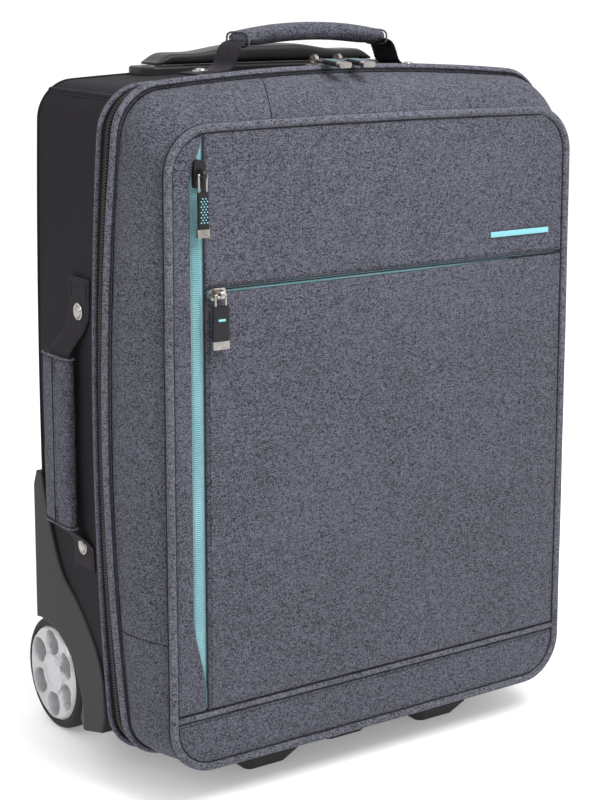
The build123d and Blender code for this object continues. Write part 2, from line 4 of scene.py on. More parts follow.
import bmesh
import bpy
import numpy as np
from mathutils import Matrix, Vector, noise


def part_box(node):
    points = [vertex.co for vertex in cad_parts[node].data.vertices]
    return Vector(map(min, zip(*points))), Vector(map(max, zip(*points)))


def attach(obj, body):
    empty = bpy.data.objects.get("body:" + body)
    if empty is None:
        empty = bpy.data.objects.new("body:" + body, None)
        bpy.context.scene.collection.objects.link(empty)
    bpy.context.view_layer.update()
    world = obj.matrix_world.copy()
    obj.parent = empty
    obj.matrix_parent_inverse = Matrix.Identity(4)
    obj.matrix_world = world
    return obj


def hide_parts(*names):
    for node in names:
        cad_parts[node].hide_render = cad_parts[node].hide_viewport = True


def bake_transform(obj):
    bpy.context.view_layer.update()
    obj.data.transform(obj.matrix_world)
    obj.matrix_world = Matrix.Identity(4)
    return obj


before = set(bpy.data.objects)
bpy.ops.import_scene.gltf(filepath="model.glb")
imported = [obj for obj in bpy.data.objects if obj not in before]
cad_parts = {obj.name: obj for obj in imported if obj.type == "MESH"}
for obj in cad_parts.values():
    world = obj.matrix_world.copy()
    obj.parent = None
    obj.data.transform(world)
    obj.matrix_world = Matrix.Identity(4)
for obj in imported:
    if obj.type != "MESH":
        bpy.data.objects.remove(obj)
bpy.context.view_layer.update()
scene = bpy.context.scene
# Unseeded, the offsets of noise_vector come from the clock and the ruffled cloth differs each run
noise.seed_set(4)

# Lengths in this script are in millimetres, and turn into metres when a mesh or an object is made.
MM = 0.001


class Section(NamedTuple):
    """One upright slice of the case: a rounded rectangle whose four sides bow outwards."""

    y: float
    width: float
    low: float
    high: float
    corner: float
    side_bow: float
    top_bow: float
    low_bow: float


BACK = Section(62.6, 387.0, 34.0, 531.0, 28.0, 4.5, 7.0, 3.0)
REAR_SEAM = Section(-40.0, 390.5, 27.0, 530.5, 31.0, 10.2, 7.0, 3.0)
LID_SEAM = Section(-69.0, 388.8, 33.0, 530.0, 29.0, 14.9, 10.7, 4.0)
FACE = Section(-119.0, 370.2, 33.3, 505.0, 32.5, 0.6, 2.3, 1.0)
WALL = 3.5
ZIP_Y = -55.5
WHEEL_Y, WHEEL_Z = 82.5, 46.6
SIDES = {"left": -1, "right": 1}


# ---------------------------------------------------------------- mesh helpers
def between(first, second, share, y):
    """The slice that lies a share of the way from one slice to another."""
    values = [a + (b - a) * share for a, b in zip(first, second)]
    return Section(*values)._replace(y=y)


def smooth_step(low, high, value):
    t = np.clip((value - low) / (high - low), 0, 1)
    return t * t * (3 - 2 * t)


def round_about(count):
    """The angles of points spaced evenly round a circle."""
    return np.linspace(0, 2 * math.pi, count, endpoint=False)


def outline(section, inset=0.0):
    """The slice's x, z points, anticlockwise seen from the front, and their outward normals."""
    half, low, high = section.width / 2 - inset, section.low + inset, section.high - inset
    r = max(section.corner - inset, 1.0)
    across = np.linspace(-half + r, half - r, 34, endpoint=False)
    up = np.linspace(low + r, high - r, 46, endpoint=False)
    turn = np.linspace(0, math.pi / 2, 14, endpoint=False)
    parts = []
    for side, corner_x, corner_z, start in (
        ((across, 0 * across + low), half - r, low + r, -0.5),
        ((0 * up + half, up), half - r, high - r, 0.0),
        ((-across, 0 * across + high), -half + r, high - r, 0.5),
        ((0 * up - half, low + high - up), -half + r, low + r, 1.0),
    ):
        parts.append(np.stack(side, 1))
        angle = turn + start * math.pi
        parts.append(np.stack([corner_x + r * np.cos(angle), corner_z + r * np.sin(angle)], 1))
    points = np.concatenate(parts)
    middle, rise = (low + high) / 2, (high - low) / 2
    u, v = points[:, 0] / half, (points[:, 1] - middle) / rise
    bow = np.where(v > 0, section.top_bow, section.low_bow)
    points[:, 0] += section.side_bow * (1 - v**2) * u
    points[:, 1] += bow * (1 - u**2) * v
    ahead = np.roll(points, -1, 0) - np.roll(points, 1, 0)
    normals = np.stack([ahead[:, 1], -ahead[:, 0]], 1)
    normals /= np.linalg.norm(normals, axis=1)[:, None]
    return points, normals


def ring(section, inset=0.0, y=None):
    """One slice as points in space."""
    points, _ = outline(section, inset)
    level = np.full(len(points), section.y if y is None else y)
    return np.stack([points[:, 0], level, points[:, 1]], 1)


def grid_faces(rows, columns, wrap=True, wrap_rows=False):
    """Quads of a grid of points, closed round in one or both directions."""
    faces = []
    for i in range(rows if wrap_rows else rows - 1):
        for j in range(columns if wrap else columns - 1):
            a, b = i * columns, (i + 1) % rows * columns
            k = (j + 1) % columns
            faces.append((a + j, a + k, b + k, b + j))
    return faces


def make(name, points, faces, look, slot, body=None, stands_for=(), sharp=None):
    """A finished piece from points in millimetres."""
    mesh = bpy.data.meshes.new(name)
    mesh.from_pydata((np.asarray(points, float) * MM).tolist(), [], faces)
    work = bmesh.new()
    work.from_mesh(mesh)
    bmesh.ops.remove_doubles(work, verts=work.verts, dist=1e-6)
    bmesh.ops.recalc_face_normals(work, faces=work.faces)
    work.to_mesh(mesh)
    work.free()
    mesh.shade_smooth()
    if sharp:
        mesh.set_sharp_from_angle(angle=math.radians(sharp))
    mesh.materials.append(look)
    piece = bpy.data.objects.new(name, mesh)
    scene.collection.objects.link(piece)
    if stands_for:
        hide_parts(*stands_for)
    if body:
        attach(piece, body)
    return piece


def loft(rings, closed=False):
    """Points and faces through rings of equal length. An open one gets a cap at each end."""
    rings = np.asarray(rings, float)
    rows, columns, _ = rings.shape
    points = rings.reshape(-1, 3)
    faces = grid_faces(rows, columns, wrap_rows=closed)
    if not closed:
        ends = np.stack([rings[0].mean(0), rings[-1].mean(0)])
        first, last = len(points), len(points) + 1
        points = np.concatenate([points, ends])
        top = (rows - 1) * columns
        for j in range(columns):
            k = (j + 1) % columns
            faces.append((first, k, j))
            faces.append((last, top + j, top + k))
    return points, faces


def merged(parts):
    """Several pairs of points and faces as one."""
    points, faces, base = [], [], 0
    for part_points, part_faces in parts:
        points.append(np.asarray(part_points, float))
        faces += [tuple(i + base for i in face) for face in part_faces]
        base += len(part_points)
    return np.concatenate(points), faces


def ruffled(points, size, amount, seed=0.0):
    """Points moved a little by smooth noise, as cloth over foam is never quite even."""
    moved = np.array(points, float)
    for i, p in enumerate(moved):
        moved[i] += np.array(noise.noise_vector(Vector(p / size) + Vector((seed, 0, 0)))) * amount
    return moved


def cord_round(section, radius, inset=0.0, y=None, sides=12):
    """A tube that follows the outline of a slice."""
    points, normals = outline(section, inset)
    level = section.y if y is None else y
    rings = []
    turn = round_about(sides)
    for p, n in zip(points, normals):
        wide = radius * np.cos(turn)
        rings.append(np.stack([p[0] + wide * n[0], level + radius * np.sin(turn), p[1] + wide * n[1]], 1))
    return loft(rings, closed=True)


def wire(path, radius, sides=8, closed=False, up=(0, 1, 0)):
    """A tube along a line of points, its circles laid out from the direction up."""
    path = np.asarray(path, float)
    ahead = np.roll(path, -1, 0) - np.roll(path, 1, 0)
    if not closed:
        ahead[0], ahead[-1] = path[1] - path[0], path[-1] - path[-2]
    ahead /= np.linalg.norm(ahead, axis=1)[:, None]
    rings = []
    turn = round_about(sides)
    wide = np.asarray(up, float)
    for p, t in zip(path, ahead):
        wide = wide - t * (wide @ t)
        wide /= np.linalg.norm(wide)
        thin = np.cross(t, wide)
        rings.append(p + radius * (np.cos(turn)[:, None] * wide + np.sin(turn)[:, None] * thin))
    return loft(rings, closed=closed)


def lathe(profile, centre, axis="X", side=1, steps=64):
    """Points of a profile of (place along the axis, radius) turned about the axis."""
    turn = round_about(steps)
    order = {"X": (0, 1, 2), "Y": (1, 2, 0), "Z": (2, 0, 1)}[axis]
    rings = []
    for along, radius in profile:
        points = np.zeros((steps, 3))
        points[:, order[0]] = centre[order[0]] + side * along
        points[:, order[1]] = centre[order[1]] + radius * np.cos(turn)
        points[:, order[2]] = centre[order[2]] + radius * np.sin(turn)
        rings.append(points)
    return loft(rings)


def rounded_bar(x, y, z, r, steps=6):
    """A box with all its edges rounded, as rings along its longest side."""
    spans = [sorted(s) for s in (x, y, z)]
    long = max(range(3), key=lambda i: spans[i][1] - spans[i][0])
    a, b = [i for i in range(3) if i != long]
    turn = np.linspace(0, math.pi / 2, steps)
    rings = []
    levels = [(spans[long][0] + r * (1 - math.sin(t)), r * (1 - math.cos(t))) for t in turn[::-1]]
    levels += [(spans[long][1] - r * (1 - math.sin(t)), r * (1 - math.cos(t))) for t in turn]
    for level, pull in levels:
        corner = max(r - pull, 0.05)
        points = []
        for quarter, (ca, cb) in enumerate(((1, 1), (-1, 1), (-1, -1), (1, -1))):
            centre_a = (spans[a][1] if ca > 0 else spans[a][0]) - ca * r
            centre_b = (spans[b][1] if cb > 0 else spans[b][0]) - cb * r
            for t in turn:
                angle = t + quarter * math.pi / 2
                p = np.zeros(3)
                p[long] = level
                p[a] = centre_a + corner * math.cos(angle)
                p[b] = centre_b + corner * math.sin(angle)
                points.append(p)
        rings.append(points)
    return loft(rings)


def walk(points, pitch, closed=True):
    """Points spaced evenly along a line, with the direction at each."""
    line = np.asarray(points, float)
    if closed:
        line = np.concatenate([line, line[:1]])
    steps = np.linalg.norm(np.diff(line, axis=0), axis=1)
    length = np.concatenate([[0], np.cumsum(steps)])
    places = np.arange(pitch / 2, length[-1], pitch)
    found = np.stack([np.interp(places, length, line[:, i]) for i in range(line.shape[1])], 1)
    ahead = np.stack(
        [np.interp(places + 0.5, length, line[:, i]) for i in range(line.shape[1])], 1
    ) - found
    ahead /= np.linalg.norm(ahead, axis=1)[:, None] + 1e-12
    return found, ahead


def beads(places, along, across, out, size):
    """One small rounded bead for each place: half sizes along, across and out."""
    shape = []
    for level, scale in ((-1, 0.45), (-0.7, 1), (0.7, 1), (1, 0.45)):
        for t in round_about(6):
            shape.append((scale * math.cos(t), level, scale * math.sin(t)))
    shape = np.array(shape) * size
    faces = grid_faces(4, 6) + [tuple(range(5, -1, -1)), tuple(range(18, 24))]
    parts = []
    for p, a, c, o in zip(places, along, across, out):
        basis = np.stack([a, c, o])
        parts.append((p + shape @ basis, faces))
    return merged(parts)


def modify(piece, kind, **settings):
    """Apply a modifier to a piece."""
    bpy.context.view_layer.objects.active = piece
    modifier = piece.modifiers.new(kind.lower(), kind)
    for key, value in settings.items():
        setattr(modifier, key, value)
    bpy.ops.object.modifier_apply(modifier=modifier.name)


def inflate(piece, voxel, cap, pressure=4.0, frames=20):
    """Cloth simulation with air inside, applied to the mesh; no point moves further than cap."""
    modify(piece, "REMESH", mode="VOXEL", voxel_size=voxel * MM)
    count = len(piece.data.vertices)
    rest = np.empty(count * 3)
    piece.data.vertices.foreach_get("co", rest)
    cloth = piece.modifiers.new("cloth", "CLOTH")
    cloth.settings.quality = 6
    cloth.settings.use_pressure = True
    cloth.settings.uniform_pressure_force = pressure
    cloth.settings.effector_weights.gravity = 0
    cloth.settings.tension_stiffness = 12
    cloth.settings.compression_stiffness = 12
    cloth.settings.bending_stiffness = 0.4
    cloth.collision_settings.use_collision = False
    cloth.point_cache.frame_end = frames
    for step in range(1, frames + 1):
        scene.frame_set(step)
    found = piece.evaluated_get(bpy.context.evaluated_depsgraph_get())
    moved = np.empty(count * 3)
    found.data.vertices.foreach_get("co", moved)
    piece.modifiers.remove(cloth)
    scene.frame_set(1)
    shift = (moved - rest).reshape(-1, 3)
    far = np.linalg.norm(shift, axis=1)[:, None]
    shift *= np.minimum(1, cap * MM / np.maximum(far, 1e-9))
    piece.data.vertices.foreach_set("co", (rest.reshape(-1, 3) + shift).ravel())
    modify(piece, "SUBSURF", levels=1, render_levels=1)
    piece.data.shade_smooth()


def apply_boolean(piece, cutter):
    """Take the cutter out of a piece, and remove it."""
    modify(piece, "BOOLEAN", operation="DIFFERENCE", solver="EXACT", object=cutter)
    bpy.data.objects.remove(cutter)


# ---------------------------------------------------------------- materials
def linear(r, g, b):
    """A colour given as 0 to 255 display values."""
    return tuple(
        (c / 255 / 12.92) if c <= 10.31 else ((c / 255 + 0.055) / 1.055) ** 2.4 for c in (r, g, b)
    ) + (1.0,)


class Look:
    """A procedural material under construction."""

    def __init__(self, name, roughness, metallic=0.0, **shader):
        self.material = bpy.data.materials.new(name)
        self.material.use_nodes = True
        self.tree = self.material.node_tree
        self.shader = self.tree.nodes["Principled BSDF"]
        self.shader.inputs["Roughness"].default_value = roughness
        self.shader.inputs["Metallic"].default_value = metallic
        for key, value in shader.items():
            self.shader.inputs[key.replace("_", " ")].default_value = value
        self.place = self.tree.nodes.new("ShaderNodeTexCoord").outputs["Object"]

    def node(self, kind, _attributes=None, **inputs):
        made = self.tree.nodes.new("ShaderNode" + kind)
        for key, value in (_attributes or {}).items():
            setattr(made, key, value)
        for key, value in inputs.items():
            numbered = key[0] == "i" and key[1:].isdigit()
            self.feed(made.inputs[int(key[1:]) if numbered else key.replace("_", " ")], value)
        return made

    def feed(self, socket, value):
        if isinstance(value, bpy.types.NodeSocket):
            self.tree.links.new(value, socket)
        else:
            socket.default_value = value

    def stretched(self, scale):
        return self.node("Mapping", Vector=self.place, Scale=scale).outputs[0]

    def noise(self, scale, detail=2.0, roughness=0.5, place=None):
        place = place or self.place
        made = self.node("TexNoise", Vector=place, Scale=scale, Detail=detail, Roughness=roughness)
        return made.outputs["Fac"]

    def cells(self, scale, place=None):
        made = self.node("TexVoronoi", Vector=place or self.place, Scale=scale)
        return self.node("SeparateColor", i0=made.outputs["Color"]).outputs[0]

    def maths(self, operation, first, second):
        return self.node("Math", {"operation": operation}, i0=first, i1=second).outputs[0]

    def sum(self, *terms):
        """Add up pairs of a socket and its share."""
        total = None
        for socket, share in terms:
            part = self.maths("MULTIPLY", socket, share)
            total = part if total is None else self.maths("ADD", total, part)
        return total

    def ramp(self, factor, *stops):
        made = self.node("ValToRGB", Fac=factor)
        ramp = made.color_ramp
        while len(ramp.elements) < len(stops):
            ramp.elements.new(0.5)
        for element, (place, colour) in zip(ramp.elements, stops):
            element.position = place
            element.color = colour
        return made.outputs["Color"]

    def colour(self, value):
        self.feed(self.shader.inputs["Base Color"], value)
        return self

    def rough(self, factor, low, high):
        made = self.node("MapRange", Value=factor, **{"To_Min": low, "To_Max": high})
        self.feed(self.shader.inputs["Roughness"], made.outputs[0])
        return self

    def bump(self, height, distance, strength=1.0):
        made = self.node("Bump", Height=height, Distance=distance * MM, Strength=strength)
        self.feed(self.shader.inputs["Normal"], made.outputs[0])
        return self


def heather(name, dark, light, bump=0.2):
    """Two-tone weave: short threads that lie across and along, each a shade of its own."""
    look = Look(name, 0.88, Sheen_Weight=0.05, Sheen_Roughness=0.5, Specular_IOR_Level=0.12)
    weft = look.cells(1.0, look.stretched((900, 900, 1900)))
    warp = look.cells(1.0, look.stretched((1900, 1900, 900)))
    slubs = look.noise(1.0, 2.0, place=look.stretched((260, 260, 1900)))
    wide = look.noise(9.0, 3.0)
    shares = (0.42, 0.38, 0.5, 0.15)
    mix = look.sum(*zip((weft, warp, slubs, wide), shares))
    middle = sum(shares) / 2
    look.colour(look.ramp(mix, (middle - 0.3, dark), (middle + 0.34, light)))
    look.bump(look.sum((weft, 0.4), (warp, 0.4), (slubs, 0.3)), bump)
    return look.material


def woven(name, base, bright, pitch, bump, roughness=0.8, spec=0.12):
    """Plain weave of one colour, its threads showing as fine broken lines."""
    look = Look(name, roughness, Specular_IOR_Level=spec)
    fine = 1000.0 / pitch
    weft = look.noise(1.0, 2.0, place=look.stretched((fine / 4, fine / 4, fine)))
    warp = look.noise(1.0, 2.0, place=look.stretched((fine, fine, fine / 4)))
    wide = look.noise(14.0, 4.0)
    mix = look.sum((weft, 0.35), (warp, 0.35), (wide, 0.3))
    look.colour(look.ramp(mix, (0.32, base), (0.7, bright)))
    look.bump(look.sum((weft, 0.5), (warp, 0.5)), bump)
    return look.material


def moulded(name, base, bright, roughness, grain=900.0, bump=0.02, spec=0.5):
    """Moulded plastic or rubber with a fine grain and a few softer marks."""
    look = Look(name, roughness[0], Specular_IOR_Level=spec)
    fine = look.noise(grain, 3.0)
    wide = look.noise(11.0, 4.0)
    scuff = look.noise(1.0, 5.0, 0.65, place=look.stretched((60, 240, 60)))
    look.colour(look.ramp(look.sum((wide, 0.6), (scuff, 0.4)), (0.35, base), (0.72, bright)))
    look.rough(look.sum((scuff, 0.6), (fine, 0.4)), *roughness)
    look.bump(fine, bump)
    return look.material


def metal(name, base, bright, roughness, brushed=None, worn=0.0):
    """Metal, with its brush marks along one axis."""
    look = Look(name, roughness[0], 1.0)
    place = look.stretched(brushed or (500, 500, 500))
    streaks = look.noise(1.0, 3.0, place=place)
    wide = look.noise(60.0, 3.0)
    look.colour(look.ramp(look.sum((streaks, 0.4 - worn), (wide, 0.6 + worn)), (0.3, base), (0.7, bright)))
    look.rough(streaks, *roughness)
    look.bump(streaks, 0.01)
    return look.material


HEATHER = heather("heather_twill", linear(18, 18, 23), linear(93, 94, 105))
# Lighter copy of the heather: painted highlight on the raised piping cords, the band welt and the handle hems
HEATHER_HIGHLIGHT = heather("heather_piping", linear(26, 26, 32), linear(104, 105, 116))
# Darker copy of the heather: painted shade for the dark lines beside the piping and along the seams; the
# stitches take the same darker tone
HEATHER_SEAM_SHADE = heather("heather_shadow", linear(10, 10, 13), linear(44, 44, 50))
BLACK_CLOTH = woven("black_nylon", linear(21, 19, 23), linear(34, 31, 36), 1.1, 0.09, 0.8)
BLACK_SEAM = woven("black_binding", linear(14, 13, 15), linear(28, 26, 30), 0.8, 0.12, 0.8)
ZIP_TAPE = woven("zip_tape", linear(14, 13, 15), linear(26, 24, 28), 0.7, 0.1, 0.8)
WEBBING = woven("webbing", linear(24, 22, 25), linear(46, 42, 48), 1.4, 0.35, 0.75)
LINING = woven("lining", linear(44, 45, 50), linear(66, 67, 74), 0.5, 0.04, 0.7, 0.3)
FLEECE = woven("sleeve_fleece", linear(30, 30, 34), linear(48, 48, 53), 2.2, 0.3, 0.9)
MINT_TAPE = woven("mint_tape", linear(92, 132, 140), linear(124, 164, 170), 0.7, 0.09, 0.7)
MINT_COIL = moulded("mint_coil", linear(108, 152, 158), linear(140, 182, 188), (0.45, 0.6), spec=0.3)
MINT_PRINT = moulded(
    "mint_print", linear(104, 164, 174), linear(130, 186, 194), (0.45, 0.6), 700.0, 0.03, 0.3
)
COIL = moulded("black_coil", linear(16, 15, 18), linear(34, 32, 36), (0.4, 0.5), spec=0.3)
GUARD = moulded("guard_plastic", linear(28, 26, 28), linear(37, 34, 36), (0.45, 0.56), 1500.0, 0.012, 0.2)
BASE = moulded("base_plastic", linear(26, 24, 27), linear(38, 36, 39), (0.45, 0.62), 800.0, 0.05, 0.3)
PLASTIC = moulded("satin_plastic", linear(18, 17, 19), linear(29, 27, 30), (0.38, 0.5), 1300.0, 0.015, 0.3)
FOOT = moulded("foot_plastic", linear(17, 16, 18), linear(28, 27, 30), (0.45, 0.6), 700.0, 0.05, 0.3)
TYRE = moulded("tyre_rubber", linear(19, 18, 20), linear(31, 29, 32), (0.55, 0.75), 1000.0, 0.04, 0.3)
PULL = moulded("pull_rubber", linear(14, 14, 17), linear(26, 26, 30), (0.45, 0.6), 900.0, 0.04, 0.3)
PULL_RIB = moulded("pull_rib", linear(74, 92, 96), linear(100, 120, 124), (0.5, 0.65), 900.0, 0.04, 0.3)
ALU = metal("tube_alu", (0.42, 0.43, 0.45, 1), (0.56, 0.57, 0.59, 1), (0.25, 0.4), (900, 900, 12))
STEEL = metal("zinc_steel", (0.38, 0.38, 0.4, 1), (0.56, 0.56, 0.58, 1), (0.28, 0.45))
NICKEL = metal("antique_nickel", (0.2, 0.18, 0.17, 1), (0.52, 0.49, 0.46, 1), (0.16, 0.34), worn=0.1)


def painted(name, base, bright):
    """Silver paint on plastic: fine flakes under a thin clear coat."""
    look = Look(name, 0.34, 0.55, Coat_Weight=0.25, Coat_Roughness=0.2)
    flakes = look.cells(2600.0)
    wide = look.noise(25.0, 3.0)
    look.colour(look.ramp(look.sum((flakes, 0.45), (wide, 0.55)), (0.25, base), (0.75, bright)))
    look.rough(flakes, 0.28, 0.42)
    look.bump(look.noise(700.0, 2.0), 0.012)
    return look.material


SILVER = painted("silver_paint", linear(160, 158, 161), linear(198, 196, 199))
SHADOW_LINE = moulded("dark_line", linear(14, 14, 16), linear(22, 22, 24), (0.6, 0.8))


# ---------------------------------------------------------------- camera, floor and light
def add_object(name, data, place=(0, 0, 0)):
    made = bpy.data.objects.new(name, data)
    made.location = place
    scene.collection.objects.link(made)
    return made


TURN, TILT = math.radians(-34.593), math.radians(10.234)
towards_camera = Vector(
    (math.sin(TURN) * math.cos(TILT), -math.cos(TURN) * math.cos(TILT), math.sin(TILT))
)
lens = bpy.data.cameras.new("camera")
lens.lens = 83.25
lens.sensor_width = 36.0
lens.shift_y = -0.1125
camera = add_object("camera", lens, (-0.8336, -1.2201, 0.6101))
camera.rotation_euler = towards_camera.to_track_quat("Z", "Y").to_euler()
scene.camera = camera
scene.view_settings.view_transform = "Standard"

floor_mesh = bpy.data.meshes.new("floor")
FLOOR = 90.0
floor_mesh.from_pydata(
    [(-FLOOR, -FLOOR, 0), (FLOOR, -FLOOR, 0), (FLOOR, FLOOR, 0), (-FLOOR, FLOOR, 0)], [], [(0, 1, 2, 3)]
)
floor_look = Look("pale_floor", 0.9, Specular_IOR_Level=0.1)
dull, bright = (0.86, 0.86, 0.86, 1), (0.88, 0.88, 0.88, 1)
floor_look.colour(floor_look.ramp(floor_look.noise(3.0), (0.3, dull), (0.7, bright)))
floor_look.shader.inputs["Emission Color"].default_value = (1, 1, 1, 1)
floor_look.shader.inputs["Emission Strength"].default_value = 0.24
floor_mesh.materials.append(floor_look.material)
floor = add_object("floor", floor_mesh)

world = bpy.data.worlds.new("studio")
scene.world = world
world.use_nodes = True
background = world.node_tree.nodes["Background"]
background.inputs["Color"].default_value = (1, 1, 1, 1)
background.inputs["Strength"].default_value = 0.95

TARGET = Vector((0, 0, 0.28))
for name, place, size, power in (
    ("key", (-0.2, -1.9, 2.3), 1.6, 9.0),
    ("high", (0.1, -0.75, 1.25), 0.7, 15.0),
    ("left", (-2.1, -0.2, 1.5), 1.0, 9.0),
    ("back", (0.9, 1.7, 2.0), 1.4, 4.0),
):
    light = bpy.data.lights.new(name, "AREA")
    light.size = size
    light.energy = power
    lamp = add_object(name, light, place)
    lamp.rotation_euler = (Vector(place) - TARGET).to_track_quat("Z", "Y").to_euler()

# ---------------------------------------------------------------- rear half of the case
RIM_Y = -43.0
REAR_FRONT = between(REAR_SEAM, LID_SEAM, 0.1, RIM_Y)
BACK_ROUND = 6.0
RIM_INSET = 1.0


def rear_at(y):
    return between(REAR_FRONT, BACK, (y - RIM_Y) / (BACK.y - RIM_Y), y)


def round_stack(stations, side, steps=96):
    """A solid through circles that face sideways, each given by its x, y, z and radius."""
    turn = round_about(steps)
    rings = []
    for x, y, z, radius in stations:
        rings.append(np.stack([0 * turn + side * x, y + radius * np.cos(turn), z + radius * np.sin(turn)], 1))
    return loft(rings)


# The guards' outer skin slopes in towards the wheels between a circle at 182.5 and one at 200.4
DISH_NEAR = np.array((182.5, WHEEL_Y, WHEEL_Z, 53.5))
DISH_FAR = np.array((200.4, 57.0, 41.0, 63.3))


def cut_stacks(piece, side, *stacks):
    """Take solids made of sideways circles out of a piece."""
    for stations in stacks:
        apply_boolean(piece, make("cutter", *round_stack(stations, side), BLACK_CLOTH, "black_fabric"))


def cut_notches(piece, radius=56.5, depth=4.0):
    """Take the room of both wheel housings out of a piece."""
    inward = np.array((depth, 0, 0, 0))
    well = [(152.4, WHEEL_Y, WHEEL_Z, radius), (232.0, WHEEL_Y, WHEEL_Z, radius)]
    far = DISH_FAR - inward
    flare = [DISH_NEAR - inward, far, (232.0, *far[1:])]
    for side in SIDES.values():
        cut_stacks(piece, side, well, flare)


def rear_body():
    inner = [ring(rear_at(y), RIM_INSET + WALL) for y in np.linspace(BACK.y - WALL, -42.6, 14)]
    rim = [ring(REAR_FRONT, RIM_INSET + WALL * share, -43.6) for share in (0.75, 0.25)]
    outer = [ring(rear_at(y), RIM_INSET) for y in np.linspace(-42.6, BACK.y - BACK_ROUND, 26)]
    for angle in np.linspace(0.2, math.pi / 2, 7):
        y = BACK.y - BACK_ROUND + BACK_ROUND * math.sin(angle)
        outer.append(ring(rear_at(y), RIM_INSET + BACK_ROUND * (1 - math.cos(angle))))
    centre = outer[-1].mean(0)
    back = [centre + (outer[-1] - centre) * share for share in (0.97, 0.9, 0.8, 0.65, 0.5, 0.35, 0.2, 0.08)]
    far = inner[0].mean(0)
    deep = [far + (inner[0] - far) * share for share in (0.05, 0.5)]
    points, faces = loft(deep + inner + rim + outer + back)
    outside = len(deep + inner + rim) * len(outer[0])
    points[outside:] = ruffled(points[outside:], 85.0, 0.55)
    body = make("rear_body", points, faces, BLACK_CLOTH, "black_fabric", sharp=50)
    cut_notches(body)
    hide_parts("rear_shell")
    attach(body, "case")


rear_body()

# Rolled seam between the side and the top of the rear half, and the welt round its back edge
CORNER_STEPS = 14
SIDE_STEPS = 46
ACROSS_STEPS = 34
TOP_RIGHT_SEAM = ACROSS_STEPS + CORNER_STEPS + SIDE_STEPS + 8
TOP_LEFT_SEAM = 2 * ACROSS_STEPS + 2 * CORNER_STEPS + SIDE_STEPS + 6
parts = []
for index in (TOP_RIGHT_SEAM, TOP_LEFT_SEAM):
    path = [ring(rear_at(y), RIM_INSET + 0.4)[index] for y in np.linspace(-42.0, BACK.y - 3.4, 40)]
    parts.append(wire(path, 2.3, sides=12))
points, faces = merged(parts)
make("rolled_seams", ruffled(points, 14.0, 0.25), faces, BLACK_CLOTH, "black_fabric", "case")
points, faces = cord_round(rear_at(BACK.y - 3.0), 2.1, RIM_INSET + 1.2, sides=12)
back_welt = make("back_welt", points, faces, BLACK_SEAM, "black_fabric", "case")
cut_notches(back_welt)

parts = []
for index, turn in ((TOP_RIGHT_SEAM, 1), (TOP_LEFT_SEAM, -1)):
    for shift in (-2.6, 2.6):
        path = []
        for y in np.linspace(-42.0, BACK.y - 3.4, 40):
            outline_points, outline_normals = outline(rear_at(y), RIM_INSET)
            p, n = outline_points[index], outline_normals[index]
            path.append((p[0] - n[1] * shift, y, p[1] + n[0] * shift))
        parts.append(wire(path, 0.35, sides=6))
make("seam_shadows", *merged(parts), SHADOW_LINE, "black_fabric", "case")

REAR_PIPE = REAR_SEAM._replace(y=REAR_SEAM.y - 5.2, width=REAR_SEAM.width + 0.2)
points, faces = cord_round(REAR_PIPE, 1.95, sides=12)
make("thin_piping", points, faces, HEATHER_HIGHLIGHT, "heather_piping", "case", ["rear_piping"])
# Painted shadow: a dark tube in the groove beside the thin piping
points, faces = cord_round(REAR_PIPE, 0.7, -0.6, REAR_PIPE.y + 2.3, sides=8)
make("thin_piping_shadow", points, faces, SHADOW_LINE, "black_fabric", "case")

# ---------------------------------------------------------------- main zip
HALF_WAY = between(REAR_SEAM, LID_SEAM, 0.53, ZIP_Y)
TAPE_REAR = between(REAR_SEAM, LID_SEAM, 0.27, -47.2)
TAPE_LID = LID_SEAM._replace(y=-65.4)
TAPE_INSET = 1.2
TAPE = 1.6
HINGE_LOW, HINGE_HIGH = 85.0, 480.0


def on_hinge_side(points):
    return (points[:, 0] > 186) & (points[:, 2] > HINGE_LOW) & (points[:, 2] < HINGE_HIGH)


def band_round(near, far, keep, steps=5):
    """A flat band between two slices, only where keep says so, as an open strip with thickness."""
    shares = np.linspace(0, 1, steps)
    levels = [between(near, far, s, near.y + (far.y - near.y) * s) for s in shares]
    rows = [ring(level, TAPE_INSET) for level in levels]
    rows += [ring(level, TAPE_INSET + TAPE) for level in reversed(levels)]
    rows = np.array(rows)
    wanted = keep(rows[0])
    start = int(np.flatnonzero(wanted & ~np.roll(wanted, 1))[0]) if not wanted.all() else 0
    order = np.roll(np.arange(rows.shape[1]), -start)
    order = order[: int(wanted.sum())]
    return loft(np.swapaxes(rows[:, order], 0, 1))


for name, near, far, body, node in (
    ("zip_tape_rear", TAPE_REAR, HALF_WAY._replace(y=ZIP_Y + 0.3), "case", "rear_zip_tape"),
    ("zip_tape_lid", HALF_WAY._replace(y=ZIP_Y - 0.3), TAPE_LID, "lid", "lid_zip_tape"),
):
    points, faces = band_round(near, far, lambda p: ~on_hinge_side(p))
    make(name, points, faces, ZIP_TAPE, "black_zip", body, [node], sharp=40)

points, faces = band_round(TAPE_REAR, TAPE_LID._replace(y=-65.2), on_hinge_side, 15)
gusset = make("fabric_hinge", points, faces, BLACK_CLOTH, "black_fabric", sharp=40)
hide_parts("hinge_gusset")
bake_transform(gusset)

